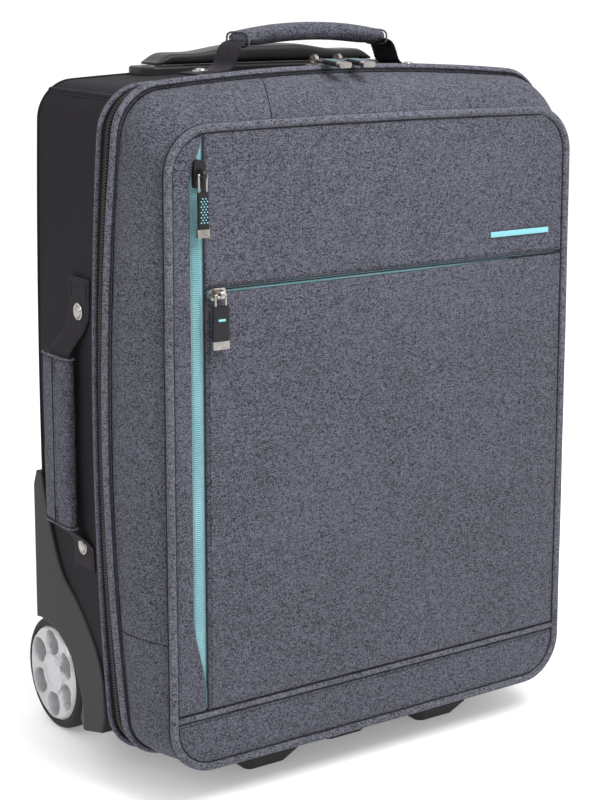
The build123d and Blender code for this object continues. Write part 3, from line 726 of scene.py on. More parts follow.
TOOTH_PITCH = 2.3
outline_points, outline_normals = outline(HALF_WAY, TAPE_INSET)
line = np.concatenate([outline_points, outline_normals], 1)
found, _ = walk(line, TOOTH_PITCH / 2)
places3 = np.stack([found[:, 0], np.full(len(found), ZIP_Y), found[:, 1]], 1)
normals3 = np.stack([found[:, 2], np.zeros(len(found)), found[:, 3]], 1)
normals3 /= np.linalg.norm(normals3, axis=1)[:, None]
keep = ~on_hinge_side(places3)
for name, body, offset, start in (("coil_rear", "case", 1.15, 0), ("coil_lid", "lid", -1.15, 1)):
    index = np.flatnonzero(keep)[start::2]
    out = normals3[index]
    across = np.tile((0.0, 1.0, 0.0), (len(index), 1))
    along = np.cross(across, out)
    centre = places3[index] + across * offset + out * 0.35
    make(name, *beads(centre, along, across, out, np.array((0.85, 2.0, 0.75))), COIL, "black_zip", body)
for name, body, y in (("tape_stitch_rear", "case", -49.6), ("tape_stitch_lid", "lid", -61.8)):
    share = (y - REAR_SEAM.y) / (LID_SEAM.y - REAR_SEAM.y)
    points, normals = outline(between(REAR_SEAM, LID_SEAM, share, y), TAPE_INSET - 0.05)
    found, ahead = walk(np.concatenate([points, normals], 1), 3.2)
    centre = np.stack([found[:, 0], np.full(len(found), y), found[:, 1]], 1)
    out = np.stack([found[:, 2], 0 * found[:, 2], found[:, 3]], 1)
    out /= np.linalg.norm(out, axis=1)[:, None]
    wanted = ~on_hinge_side(centre)
    across = np.tile((0.0, 1.0, 0.0), (int(wanted.sum()), 1))
    along = np.cross(out[wanted], across)
    points, faces = beads(centre[wanted], across, along, out[wanted], np.array((0.3, 1.15, 0.3)))
    make(name, points, faces, BLACK_SEAM, "black_zip", body)

# ---------------------------------------------------------------- lid
LID_BACK = between(LID_SEAM, FACE, 0.07, -72.8)
LID_MIDDLE = between(LID_SEAM, FACE, 0.5, -95.0)
LID_MIDDLE = LID_MIDDLE._replace(width=LID_MIDDLE.width + 5, high=LID_MIDDLE.high + 4)
LID_FRONT = FACE._replace(y=-116.0)
LID_INSET = 0.8


def lid_at(share):
    """The lid's slice at a share of its depth, on a smooth curve through its three slices."""
    near = (1 - share) * (1 - 2 * share)
    middle = 4 * share * (1 - share)
    far = share * (2 * share - 1)
    return Section(*[near * a + middle * b + far * c for a, b, c in zip(LID_BACK, LID_MIDDLE, LID_FRONT)])


def lid_body():
    outer = [ring(lid_at(share), LID_INSET) for share in np.linspace(0, 1, 18)]
    inner = [ring(lid_at(share), LID_INSET + WALL) for share in np.linspace(0, 0.93, 12)]
    rim = [ring(LID_BACK, LID_INSET + inward, LID_BACK.y + 0.6) for inward in (0.8, 2.6)]
    front = outer[-1].mean(0)
    cap = [front + (outer[-1] - front) * share for share in (0.98, 0.6, 0.2)]
    deep = inner[-1].mean(0)
    floor_rings = [deep + (inner[-1] - deep) * share for share in (0.3, 0.8)]
    points, faces = loft(floor_rings + inner[::-1] + rim[::-1] + outer + cap)
    across = len(outer[0])
    start = len(floor_rings + inner + rim) * across
    end = start + len(outer) * across
    points[start:end] = ruffled(points[start:end], 70.0, 0.7, 4.0)
    body = make("lid_gusset", points, faces, HEATHER, "heather_fabric", "lid", ["lid_shell"], sharp=50)


lid_body()

points, faces = cord_round(LID_SEAM, 3.5, sides=16)
points = ruffled(points, 40.0, 0.3)
make("thick_piping", points, faces, HEATHER_HIGHLIGHT, "heather_piping", "lid", ["lid_piping"])
# Painted shadow: a dark tube in the groove beside the thick piping
points, faces = cord_round(LID_SEAM, 0.8, 0.2, LID_SEAM.y - 3.6, sides=8)
make("thick_piping_shadow", points, faces, HEATHER_SEAM_SHADE, "heather_piping", "lid")

FACE_PIPE = FACE._replace(y=FACE.y - 0.4)
points, faces = cord_round(FACE_PIPE, 3.1, sides=16)
points = ruffled(points, 40.0, 0.25, 2.0)
make("face_piping_cord", points, faces, HEATHER_HIGHLIGHT, "heather_piping", "lid", ["face_piping"])
# Painted shadow: dark tubes in the grooves on both sides of the face piping
shade_lines = ((-2.5, 1.9), (3.4, -0.6))
parts = [cord_round(FACE_PIPE, 0.75, inset, FACE.y + shift, sides=8) for inset, shift in shade_lines]
make("face_piping_shadows", *merged(parts), HEATHER_SEAM_SHADE, "heather_piping", "lid")


def gusset_seam_shade(pick, target_back, target_front, start=0.0, steps=26):
    """A dark line of painted shade along a seam across the gusset; pick 0 follows an x and pick 1 a z, on the
    top or the left.
    """
    path = []
    for share in np.linspace(start, 1.0, steps):
        section = lid_at(share)
        points, normals = outline(section, LID_INSET)
        target = target_back + (target_front - target_back) * share
        if pick[0] == "top":
            side = np.flatnonzero(points[:, 1] > section.high - section.corner)
        elif pick[0] == "left":
            side = np.flatnonzero(points[:, 0] < -section.width / 2 + section.corner)
        else:
            side = np.flatnonzero(points[:, 0] > section.width / 2 - section.corner)
        nearest = side[np.argsort(np.abs(points[side, pick[1]] - target))[:2]]
        a, b = points[nearest, pick[1]]
        t = np.clip((target - a) / (b - a + 1e-9), 0, 1)
        p = points[nearest[0]] + (points[nearest[1]] - points[nearest[0]]) * t
        n = normals[nearest[0]]
        path.append((p[0] + n[0] * 0.15, section.y, p[1] + n[1] * 0.15))
    return wire(path, 0.42, sides=8)


# Painted shade: dark lines along the seams across the lid gusset
shade_lines = [
    gusset_seam_shade(("top", 0), -77.0, -95.5),
    gusset_seam_shade(("top", 0), 98.0, 91.0, 0.75),
    gusset_seam_shade(("left", 1), 134.0, 131.0),
    gusset_seam_shade(("right", 1), 134.0, 131.0),
]
make("gusset_seam_shades", *merged(shade_lines), HEATHER_SEAM_SHADE, "heather_fabric", "lid")

# ---------------------------------------------------------------- face panels
PANEL_BACK = -116.2
PANEL_EDGE = 3.7
SIDE_ZIP = (-166.3, -156.3)
BAND_TOP = 71.8
UNDER_PIPING = 2.2
face_points, _ = outline(FACE, UNDER_PIPING)
right_half = face_points[face_points[:, 0] > 0.5]
right_half = right_half[np.argsort(right_half[:, 1])]
FACE_LOW, FACE_HIGH = face_points[:, 1].min() + 0.3, face_points[:, 1].max() - 0.3


def inside(z):
    """Half width of the face at a height, inside its piping."""
    return np.interp(z, right_half[:, 1], right_half[:, 0])


def eased(count):
    return 0.5 - 0.5 * np.cos(np.linspace(0, math.pi, count))


def panel(name, low, high, left, right, columns, rows, puff, node, seed):
    """A padded panel of the face. Its borders are functions of x or of z."""
    u, v = eased(columns), eased(rows)
    points = np.zeros((rows, columns, 3))
    for j, share in enumerate(v):
        for i, across in enumerate(u):
            x = left(270.0) + (right(270.0) - left(270.0)) * across
            z = low(x) + (high(x) - low(x)) * share
            x_left, x_right = max(left(z), -inside(z)), min(right(z), inside(z))
            if x_right < x_left + 0.4:
                x_left, x_right = x_right - 0.4, x_right
            x = x_left + (x_right - x_left) * across
            edge = min(x - x_left, x_right - x, z - low(x), high(x) - z)
            edge = max(edge, 0.0)
            depth = PANEL_EDGE * (1 - math.exp(-edge / 0.9)) + puff * (1 - math.exp(-edge / 30.0))
            points[j, i] = (x, PANEL_BACK - 0.2 - depth, z)
    bumps = []
    for p in points.reshape(-1, 3):
        broad = noise.noise(Vector(p / 62.0) + Vector((seed, 3, 1)))
        bumps.append(broad + 0.5 * noise.noise(Vector(p / 24.0)))
    inner = np.minimum(1, (PANEL_BACK - points[..., 1]) / PANEL_EDGE) ** 4
    points[..., 1] -= 0.42 * np.array(bumps).reshape(rows, columns) * inner
    flat = points.reshape(-1, 3)
    faces = grid_faces(rows, columns, wrap=False)
    border = list(range(columns)) + [r * columns + columns - 1 for r in range(1, rows)]
    border += [(rows - 1) * columns + c for c in range(columns - 2, -1, -1)]
    border += [r * columns for r in range(rows - 2, 0, -1)]
    backs = flat[border].copy()
    backs[:, 1] = PANEL_BACK + 0.1
    base = len(flat)
    count = len(border)
    for k in range(count):
        faces.append((border[k], border[(k + 1) % count], base + (k + 1) % count, base + k))
    faces.append(tuple(base + k for k in range(count)))
    points = np.concatenate([flat, backs])
    piece = make(name, points, faces, HEATHER, "heather_fabric", "lid", [node], sharp=60)


def zip_edge(z):
    """Right border of the strip beside the upright zip: it closes over the zip at both ends."""
    closing = smooth_step(150.0, 92.0, z) + smooth_step(466.0, 500.0, z)
    return SIDE_ZIP[0] + 9.6 * float(min(closing, 1.0))


def lower_top(x):
    """Top border of the lower pocket: the zip's mint line narrows out at its right end."""
    return 388.7 + 1.6 * float(smooth_step(20.0, 122.0, x))


WELT_LOW, WELT_HIGH = BAND_TOP - 0.6, BAND_TOP + 4.2
FLAP_LOW = 390.9
MAIN_LEFT = SIDE_ZIP[1] + 0.1
panel(
    "face_edge_strip", lambda x: WELT_HIGH, lambda x: 501.0, lambda z: -inside(z), zip_edge,
    16, 110, 0.1, "pocket_edge_panel", 5.0,
)
panel(
    "upper_pocket", lambda x: FLAP_LOW, lambda x: FACE_HIGH, lambda z: MAIN_LEFT, inside,
    90, 54, 1.0, "upper_pocket_panel", 1.0,
)
panel(
    "lower_pocket", lambda x: WELT_HIGH, lower_top, lambda z: MAIN_LEFT, inside,
    90, 84, 1.3, "lower_pocket_panel", 2.0,
)
panel(
    "lower_band", lambda x: FACE_LOW, lambda x: WELT_LOW, lambda z: -inside(z), inside,
    96, 30, 1.6, "bottom_band", 3.0,
)

# The folded welt between the lower pocket and the band, with the shadows of its two seams
half_welt = inside(BAND_TOP + 2.0) - 0.6
middle_z = (WELT_LOW + WELT_HIGH) / 2
rows = []
for x in np.linspace(-half_welt, half_welt, 120):
    turn = round_about(14)
    bulge = (WELT_HIGH - WELT_LOW) / 2 - 0.1
    rows.append(np.stack([0 * turn + x, -118.6 - 2.4 * np.sin(turn), middle_z + bulge * np.cos(turn)], 1))
points, faces = loft(rows)
make("band_welt", ruffled(points, 26.0, 0.22), faces, HEATHER_HIGHLIGHT, "heather_fabric", "lid")
parts = []
for z in (WELT_LOW - 0.1, WELT_HIGH + 0.1):
    parts.append(wire([(x, -119.3, z) for x in np.linspace(-half_welt, half_welt, 40)], 0.5, sides=8))
parts.append(wire([(MAIN_LEFT - 0.2, -119.3, z) for z in np.linspace(WELT_HIGH, 94.0, 6)], 0.5, sides=8))
flap_x = np.linspace(MAIN_LEFT, inside(390.0) - 0.5, 40)
parts.append(wire([(x, -119.4, FLAP_LOW - 0.3) for x in flap_x], 0.55, sides=8))
parts.append(wire([(MAIN_LEFT - 0.3, -118.9, z) for z in np.linspace(94.0, 500.0, 40)], 0.5, sides=8))
make("face_seam_shadows", *merged(parts), HEATHER_SEAM_SHADE, "heather_fabric", "lid")


def stitches(name, path, body, look, slot, out=(0, -1, 0), pitch=3.4, half=1.25, radius=0.3):
    """A row of sewn stitches along a line of points."""
    found, ahead = walk(path, pitch, closed=False)
    out = np.tile(np.asarray(out, float), (len(found), 1))
    across = np.cross(ahead, out)
    across /= np.linalg.norm(across, axis=1)[:, None]
    points, faces = beads(found, across, ahead, out, np.array((radius, half, radius)))
    return make(name, points, faces, look, slot, body)


STITCH_Y = -120.55
for name, path in (
    ("stitch_flap", [(x, STITCH_Y, FLAP_LOW + 3.2) for x in (MAIN_LEFT + 3, inside(395.0) - 3)]),
    ("stitch_zip_side", [(MAIN_LEFT + 3.0, STITCH_Y, z) for z in (WELT_HIGH + 2, 384.0)]),
    ("stitch_band", [(x, -120.3, WELT_LOW - 2.6) for x in (-half_welt + 2, half_welt - 2)]),
):
    stitches(name, path, "lid", HEATHER_SEAM_SHADE, "heather_fabric", radius=0.22)

# Zips of the two pockets: tape and reverse coil
TAPE_Y = (-117.9, -116.0)
tapes = [
    rounded_bar((-168.5, -155.2), TAPE_Y, (78.0, 501.0), 0.5, 4),
    rounded_bar((-156.0, 176.0), TAPE_Y, (384.0, 392.5), 0.5, 4),
]
make("pocket_zip_tapes", *merged(tapes), MINT_TAPE, "mint_zip", "lid", ["pocket_zips"], sharp=40)


def coil_row(start, end, pitch, size, out=(0, -1, 0)):
    found, ahead = walk([start, end], pitch, closed=False)
    out = np.tile(np.asarray(out, float), (len(found), 1))
    return beads(found, ahead, np.cross(out, ahead), out, np.array(size))


COIL_X, COIL_Y, COIL_Z, COIL_PITCH = -162.6, -118.0, 389.5, 1.5
coils = [
    coil_row((COIL_X, COIL_Y, 82.0), (COIL_X, COIL_Y, 500.0), COIL_PITCH, (0.62, 3.5, 0.8)),
    coil_row((-154.0, COIL_Y, COIL_Z), (128.0, COIL_Y, COIL_Z), COIL_PITCH, (0.62, 1.0, 0.8)),
]
make("pocket_zip_coils", *merged(coils), MINT_COIL, "mint_zip", "lid")
points, faces = rounded_bar((106.0, 166.0), (-122.3, -121.3), (408.0, 412.4), 0.5, 4)
make("plain_badge", points, faces, MINT_PRINT, "mint_zip", "lid")

# ---------------------------------------------------------------- wheel guards
GUARD_IN, GUARD_OUT, GUARD_TOP, SPINE_BACK = 152.0, 200.3, 226.0, 70.5
WELL_R = 53.5
BOSS_R = 20.0
FRONT_EDGE = [(56.5, 226.0), (45.0, 190.0), (26.0, 153.0), (1.0, 134.5)]
FRONT_EDGE += [(-18.0, 117.0), (-31.0, 100.0), (-38.0, 82.0), (-41.0, 55.0)]


def curve_through(knots, steps):
    """Points on a smooth curve through the knots (Catmull-Rom)."""
    knots = np.asarray(knots, float)
    ends = np.concatenate([[2 * knots[0] - knots[1]], knots, [2 * knots[-1] - knots[-2]]])
    found = []
    for a, b, c, d in zip(ends, ends[1:], ends[2:], ends[3:]):
        for t in np.linspace(0, 1, steps, endpoint=False):
            square, cube = 2 * a - 5 * b + 4 * c - d, 3 * b - a - 3 * c + d
            found.append(0.5 * (2 * b + (c - a) * t + square * t**2 + cube * t**3))
    found.append(knots[-1])
    return np.array(found)


def prism(profile, near, far):
    """A solid with a y, z profile between two x values."""
    rings = np.array([[(x, y, z) for y, z in profile] for x in (near, far)])
    count = len(profile)
    faces = grid_faces(2, count) + [tuple(range(count)), tuple(range(2 * count - 1, count - 1, -1))]
    return rings.reshape(-1, 3), faces


def guard_core():
    """What the guards wrap round: the inside of the case, without the wheel housings."""
    rows = [ring(rear_at(y), 2.2) for y in np.linspace(-60.0, BACK.y - 0.8, 24)]
    middle = [rows[0].mean(0), rows[-1].mean(0)]
    first = [middle[0] + (rows[0] - middle[0]) * share for share in (0.05, 0.5)]
    last = [middle[1] + (rows[-1] - middle[1]) * share for share in (0.5, 0.05)]
    core = make("core", *loft(first + rows + last), BLACK_CLOTH, "black_fabric")
    cut_notches(core)
    return core


def wheel_guard(name, side):
    front = curve_through(FRONT_EDGE, 10)
    profile = list(map(tuple, front)) + [(-36.0, 40.0), (-10.0, 33.0), (33.0, 24.0)]
    profile += [(WHEEL_Y, 24.0), (WHEEL_Y, 90.0)]
    profile += [(SPINE_BACK, 92.0), (SPINE_BACK, GUARD_TOP - 12), (SPINE_BACK - 5, GUARD_TOP)]
    body = make(name, *prism(profile, side * GUARD_IN, side * GUARD_OUT), GUARD, "guard_plastic")
    apply_boolean(body, guard_core())
    reach = DISH_FAR - DISH_NEAR
    well = [(GUARD_IN + 3.0, WHEEL_Y, WHEEL_Z, WELL_R), (210.0, WHEEL_Y, WHEEL_Z, WELL_R)]
    cut_stacks(body, side, well, [DISH_NEAR - 0.06 * reach, DISH_FAR, DISH_FAR + 0.2 * reach])
    inside_fin = rounded_bar((side * 138, side * 178), (62, 110), (100.6, 240), 1.0, 3)
    apply_boolean(body, make("fin_room", *inside_fin, GUARD, "guard_plastic"))
    boss = [(GUARD_IN + deep, WHEEL_Y, WHEEL_Z, BOSS_R) for deep in (0.0, 3.0)]
    boss = round_stack(boss, side, 48)
    bead = [(side * (GUARD_OUT - 1.6), y + 1.4, z) for y, z in front[:-2]]
    trim = make("guard_trim", *merged([boss, wire(bead, 1.7, sides=10)]), GUARD, "guard_plastic")
    bpy.ops.object.select_all(action="DESELECT")
    for piece in (trim, body):
        piece.select_set(True)
    bpy.context.view_layer.objects.active = body
    bpy.ops.object.join()
    modify(body, "REMESH", mode="VOXEL", voxel_size=1.1 * MM)
    modify(body, "SMOOTH", factor=0.5, iterations=6)
    body.data.shade_smooth()
    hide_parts(name.replace("guard", "wheel_guard"))
    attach(body, "case")


for name, side in SIDES.items():
    wheel_guard(f"guard_{name}", side)

# ---------------------------------------------------------------- wheels
HUB_R, HUB_IN, HUB_OUT = 38.9, 159.5, 181.5
POCKET_RING, POCKET_R, CAP_R = 26.6, 10.6, 16.2


def hub_height(radius, angle):
    """Depth of the hub's face below its outer plane."""
    depth = 1.6 * smooth_step(HUB_R - 1.6, HUB_R, radius)
    depth -= 0.7 * smooth_step(2.4, 0.6, abs(radius - HUB_R + 3.4))
    depth += 0.9 * smooth_step(0.9, 0.3, abs(radius - CAP_R - 0.9))
    for k in range(6):
        centre = math.radians(30 + 60 * k)
        away = math.hypot(
            radius * math.cos(angle) - POCKET_RING * math.cos(centre),
            radius * math.sin(angle) - POCKET_RING * math.sin(centre),
        )
        rim = 0.5 * float(smooth_step(1.5, 0.3, abs(away - POCKET_R - 0.6)))
        depth += 12.0 * float(smooth_step(POCKET_R, POCKET_R - 3.9, away)) - rim
    if radius > CAP_R + 1.4:
        depth += 1.4 * float(smooth_step(HUB_R - 1, CAP_R, radius))
    return depth


def wheel_ring(side, x, radius, turn):
    """A circle round the axle; x is one value or one for each of its points."""
    ends = WHEEL_Y + radius * np.cos(turn), WHEEL_Z + radius * np.sin(turn)
    return np.stack([0 * turn + side * np.asarray(x), *ends], 1)


def wheel(name, side):
    body = f"wheel_{name}"
    face = np.linspace(CAP_R + 0.9, HUB_R - 0.4, 44)
    radii = np.concatenate([[CAP_R - 0.4, CAP_R, CAP_R + 0.5], face, [HUB_R]])
    turn = round_about(180)
    rings = []
    for radius in radii:
        x = [HUB_OUT - hub_height(radius, angle) for angle in turn]
        rings.append(wheel_ring(side, x, radius, turn))
    back = [(1, HUB_R), (0, HUB_R - 1), (0, 30.0), (3, 28.0), (3, 15.0), (0, 14.0)]
    rings += [wheel_ring(side, HUB_IN + deep, radius, turn) for deep, radius in back]
    make(f"hub_face_{name}", *loft(rings), SILVER, "silver_hub", body, [f"hub_{name}"], sharp=35)
    edge = [(-3, 0.0), (-0.4, 0.0), (0.25, 0.7), (0.35, 2.2), (0.05, 2.7), (0.05, 3.3), (0.4, 3.8)]
    profile = [(HUB_OUT + out, CAP_R - inward) for out, inward in edge]
    profile += [(HUB_OUT + 0.55, 5.0), (HUB_OUT + 0.55, 0.5)]
    points, faces = lathe(profile, (0, WHEEL_Y, WHEEL_Z), side=side, steps=96)
    make(f"hub_centre_{name}", points, faces, SILVER, "silver_hub", body, [f"hub_cap_{name}"], sharp=35)
    low, high = 159.0, 181.0
    profile = [(low + 1.2, HUB_R - 0.05), (low + 0.3, HUB_R + 0.6), (low, HUB_R + 2.5)]
    profile += [(low + 0.6, 43.4), (low + 2.0, 45.3), (low + 4.6, 46.4), (low + 8, 46.6)]
    profile += [(high - 8, 46.6), (high - 4.6, 46.4), (high - 2.0, 45.3), (high - 0.6, 43.4)]
    profile += [(high - 0.3, 42.2), (high - 0.55, 41.9), (high - 0.1, 41.5), (high, HUB_R + 1.6)]
    profile += [(high - 0.4, HUB_R + 0.4), (high - 1.4, HUB_R - 0.05)]
    turn = round_about(144)
    rows = [wheel_ring(side, x, radius, turn) for x, radius in profile]
    make(f"tyre_ring_{name}", *loft(rows, closed=True), TYRE, "tyre", body, [f"tyre_{name}"])


for name, side in SIDES.items():
    wheel(name, side)


# ---------------------------------------------------------------- carrying handles
def strap(path, width, thickness, up, picot=0.35, columns=11, crown=0.25):
    """Flat webbing along a line: a rectangle with ribbed edges, its width along up."""
    path = np.asarray(path, float)
    ahead = np.gradient(path, axis=0)
    ahead /= np.linalg.norm(ahead, axis=1)[:, None]
    up = np.asarray(up, float)
    rows = []
    for k, (p, t) in enumerate(zip(path, ahead)):
        thin = np.cross(t, up)
        thin /= np.linalg.norm(thin)
        half = width / 2 + (picot if k % 2 else -picot)
        share = np.linspace(-1, 1, columns)
        lift = thickness / 2 * (1 - 0.5 * share**8) + crown * np.cos(share * math.pi * 5) * 0.3
        top = p + share[:, None] * half * up + lift[:, None] * thin
        low = p + share[::-1, None] * half * up - lift[::-1, None] * thin
        rows.append(np.concatenate([top, low]))
    return loft(rows)


def evenly(knots, pitch):
    """A smooth line through knots, with even steps."""
    line = curve_through(knots, 16)
    found, _ = walk(line, pitch, closed=False)
    return found


HANDLE_Y, HANDLE_X, HANDLE_Z, SLEEVE_RISE = -23.0, 67.0, 562.2, 6.0
WEBBING_WIDE, WEBBING_THICK = 31.0, 1.7


def soft_power(values, power):
    return np.sign(values) * np.abs(values) ** power


def sleeve_height(x):
    return HANDLE_Z + SLEEVE_RISE * (1 - (x / HANDLE_X) ** 2)


def front_or_back(y):
    return "front" if y < 0 else "back"


def top_sleeve():
    rows = []
    for x in np.linspace(-HANDLE_X + 0.5, HANDLE_X - 0.5, 40):
        lift = sleeve_height(x)
        turn = round_about(36)
        y, z = 15.4 * soft_power(np.cos(turn), 0.62), 5.4 * soft_power(np.sin(turn), 0.62)
        rows.append(np.stack([0 * turn + x, HANDLE_Y + y, lift + z], 1))
    sleeve = make("top_handle_pad", *loft(rows), HEATHER, "handle_cloth")
    inflate(sleeve, 4.0, 1.7)
    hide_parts("top_handle_sleeve")
    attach(sleeve, "top_handle")
    parts = []
    for end in (-1, 1):
        x = end * (HANDLE_X - 2.0)
        lift = sleeve_height(x)
        turn = round_about(40)
        y, z = 15.7 * soft_power(np.cos(turn), 0.6), 5.6 * soft_power(np.sin(turn), 0.6)
        hem = np.stack([0 * turn + x, HANDLE_Y + y, lift + z], 1)
        parts.append(wire(hem, 0.8, sides=8, closed=True, up=(1, 0, 0)))
    make("top_handle_hems", *merged(parts), HEATHER_HIGHLIGHT, "handle_cloth", "top_handle")
    for edge in (-1, 1):
        path = []
        for x in np.linspace(-HANDLE_X + 4, HANDLE_X - 4, 30):
            path.append((x, HANDLE_Y + edge * 16.0, 560.2 + SLEEVE_RISE * (1 - (x / HANDLE_X) ** 2)))
        name = f"top_handle_stitch_{front_or_back(edge)}"
        out = (0, edge, 0)
        stitches(name, path, "top_handle", HEATHER_SEAM_SHADE, "handle_cloth", out, 3.6, 1.3, 0.4)


def rivet(centre, axis, side):
    profile = [(-0.6, 6.6), (0.5, 6.6), (0.9, 6.1), (0.9, 5.2), (0.45, 4.8), (0.5, 4.5)]
    profile += [(1.3, 4.2), (1.9, 3.4), (2.25, 2.2), (2.35, 0.6)]
    return lathe(profile, centre, axis=axis, side=side, steps=40)


top_sleeve()
rivets = []
for name, side in SIDES.items():
    line = [(57, 562.0), (67, 560.6), (72, 557.0), (75, 551.0), (78, 544.0), (84, 540.4)]
    line += [(93, 539.3), (101, 538.6), (110.5, 537.6)]
    knots = [(side * x, HANDLE_Y, z) for x, z in line]
    points, faces = strap(evenly(knots, 1.3), WEBBING_WIDE, WEBBING_THICK, (0, 1, 0))
    leg = make(f"top_webbing_{name}", points, faces, WEBBING, "black_webbing", sharp=50)
    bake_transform(leg)
    if side > 0:
        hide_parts("top_handle_webbing")
    rivets.append(rivet((side * 98.5, HANDLE_Y, 539.6), "Z", 1))
    for edge in (-1, 1):
        y = HANDLE_Y + edge * 12.5
        path = [(side * 104.5, y, 539.3), (side * 92, y, 540.3)]
        row = f"top_webbing_stitch_{name}_{front_or_back(edge)}"
        stitches(row, path, "case", BLACK_SEAM, "black_webbing", (0, 0, 1), 2.6, 0.95, 0.3)

SIDE_Y, SIDE_LOW, SIDE_HIGH, SIDE_X = 2.0, 198.0, 332.0, -210.8
STRAP_Y = -20.0


def side_sleeve():
    rows = []
    for z in np.linspace(SIDE_LOW + 1.0, SIDE_HIGH - 1.0, 44):
        turn = round_about(44)
        y, x = 21.5 * soft_power(np.cos(turn), 0.5), 4.1 * soft_power(np.sin(turn), 0.6)
        x = np.where(x < 0, x - 0.9 * (1 - np.abs(y + 2) / 24), x)
        rows.append(np.stack([SIDE_X + x, SIDE_Y + y, 0 * turn + z], 1))
    sleeve = make("side_handle_pad", *loft(rows), HEATHER, "handle_cloth")
    inflate(sleeve, 3.6, 1.4)
    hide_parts("side_handle_sleeve")
    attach(sleeve, "side_handle")
    # Painted shade: a dark line along the seam down the outer face of the side handle pad
    ridge = [(SIDE_X - 6.35, SIDE_Y - 2.0, z) for z in np.linspace(SIDE_LOW + 3, SIDE_HIGH - 3, 30)]
    points, faces = wire(ruffled(np.array(ridge), 20.0, 0.2), 0.5, sides=8, up=(1, 0, 0))
    make("side_handle_seam_shade", points, faces, HEATHER_SEAM_SHADE, "handle_cloth", "side_handle")
    path = [(SIDE_X - 6.1, SIDE_Y - 5.0, z) for z in (SIDE_LOW + 4, SIDE_HIGH - 4)]
    out = (-1, 0, 0)
    stitches("side_handle_stitch", path, "side_handle", HEATHER_SEAM_SHADE, "handle_cloth", out, 3.6, 1.3, 0.3)
    parts = []
    for z in (SIDE_LOW + 1.8, SIDE_HIGH - 1.8):
        turn = round_about(44)
        y, x = 21.8 * soft_power(np.cos(turn), 0.5), 4.4 * soft_power(np.sin(turn), 0.6)
        hem = np.stack([SIDE_X + x, SIDE_Y + y, 0 * turn + z], 1)
        parts.append(wire(hem, 0.8, sides=8, closed=True, up=(0, 0, 1)))
    make("side_handle_hems", *merged(parts), HEATHER_HIGHLIGHT, "handle_cloth", "side_handle")


side_sleeve()
for name, sign, rivet_z, reach, edge in (
    ("upper", 1, 366.0, 393.0, SIDE_HIGH),
    ("lower", -1, 186.0, 168.0, SIDE_LOW),
):
    bend = 1.0 if sign > 0 else 0.35
    shift = STRAP_Y - SIDE_Y
    knots = [
        (SIDE_X - 0.5, SIDE_Y, edge - sign * 12),
        (SIDE_X, SIDE_Y + 0.1 * shift, edge),
        (-208.5, SIDE_Y + 0.35 * shift, edge + sign * 9 * bend),
        (-205.6, SIDE_Y + 0.7 * shift, edge + sign * 19 * bend),
        (-204.4, SIDE_Y + 0.95 * shift, rivet_z - sign * 6 * bend),
        (-203.8, STRAP_Y, rivet_z),
        (-203.0, STRAP_Y, reach),
    ]
    points, faces = strap(evenly(knots, 1.3), WEBBING_WIDE, WEBBING_THICK, (0, 1, 0))
    leg = make(f"side_webbing_{name}", points, faces, WEBBING, "black_webbing", sharp=50)
    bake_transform(leg)
    rivets.append(rivet((-204.6, STRAP_Y, rivet_z), "X", -1))
    if sign > 0:
        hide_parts("webbing_ends")
make("domed_rivets", *merged(rivets), NICKEL, "nickel", "case", ["handle_rivets"], sharp=30)
for y in (STRAP_Y - 12, STRAP_Y + 12):
    path = [(-204.3, y, 388.0), (-204.3, y, 374.0)]
    row = f"side_webbing_stitch_{front_or_back(y - STRAP_Y)}"
    stitches(row, path, "case", BLACK_SEAM, "black_webbing", (-1, 0, 0), 2.6, 0.95, 0.3)

# ---------------------------------------------------------------- pulls: raised marks on the moulded grips
EYE_Y = ZIP_Y - 0.5
SLOPE = math.radians(4.5)


def dots_on(name, centre, size, columns, rows, pitch, body, look):
    """Small raised dots in a staggered field on a plane that faces the front."""
    profile = [(-0.3, size), (0.25, size), (0.45, size * 0.6)]
    parts = []
    for row in range(rows):
        count = columns if row % 2 == 0 else columns - 1
        for k in range(count):
            x = centre[0] + (k - (count - 1) / 2) * pitch
            z = centre[2] + (row - (rows - 1) / 2) * pitch * 0.75
            parts.append(lathe(profile, (x, centre[1], z), "Y", -1, 12))
    make(name, *merged(parts), look, "mint_zip", body)


grip_low, grip_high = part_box("side_pull_grip")
middle = (grip_low + grip_high) / 2 / MM
dots_on("side_pull_dots", (middle.x, grip_low.y / MM, middle.z), 0.6, 3, 10, 2.5, "side_pull", MINT_PRINT)
grip_low, grip_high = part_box("front_pull_grip")
middle = (grip_low + grip_high) / 2 / MM
face_y = grip_low.y / MM
x, z = (middle.x - 3.0, middle.x + 3.0), (middle.z + 1.6, middle.z + 3.4)
points, faces = rounded_bar(x, (face_y - 0.3, face_y + 0.5), z, 0.35, 3)
make("front_pull_bar", points, faces, MINT_PRINT, "mint_zip", "front_pull")

for name in SIDES:
    grip_low, grip_high = (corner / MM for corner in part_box(f"main_pull_grip_{name}"))
    x = (grip_low.x + grip_high.x) / 2
    parts = []
    for k in range(6):
        along = 20.0 + 2.7 * k
        for face in (1, -1):
            ends = []
            for dx, more in ((-4.0, -1.6), (4.0, 1.6)):
                reach = along + more
                y = EYE_Y - reach * math.cos(SLOPE) + face * 1.75 * math.sin(SLOPE)
                z = 547.9 - reach * math.sin(SLOPE) + face * 1.75 * math.cos(SLOPE)
                ends.append((x + dx, y, z))
            parts.append(wire([ends[0], np.mean(ends, 0), ends[1]], 0.62, sides=8, up=(0, 0, 1)))
    make(f"main_pull_ribs_{name}", *merged(parts), PULL_RIB, "rubber_pull", f"pull_{name}")

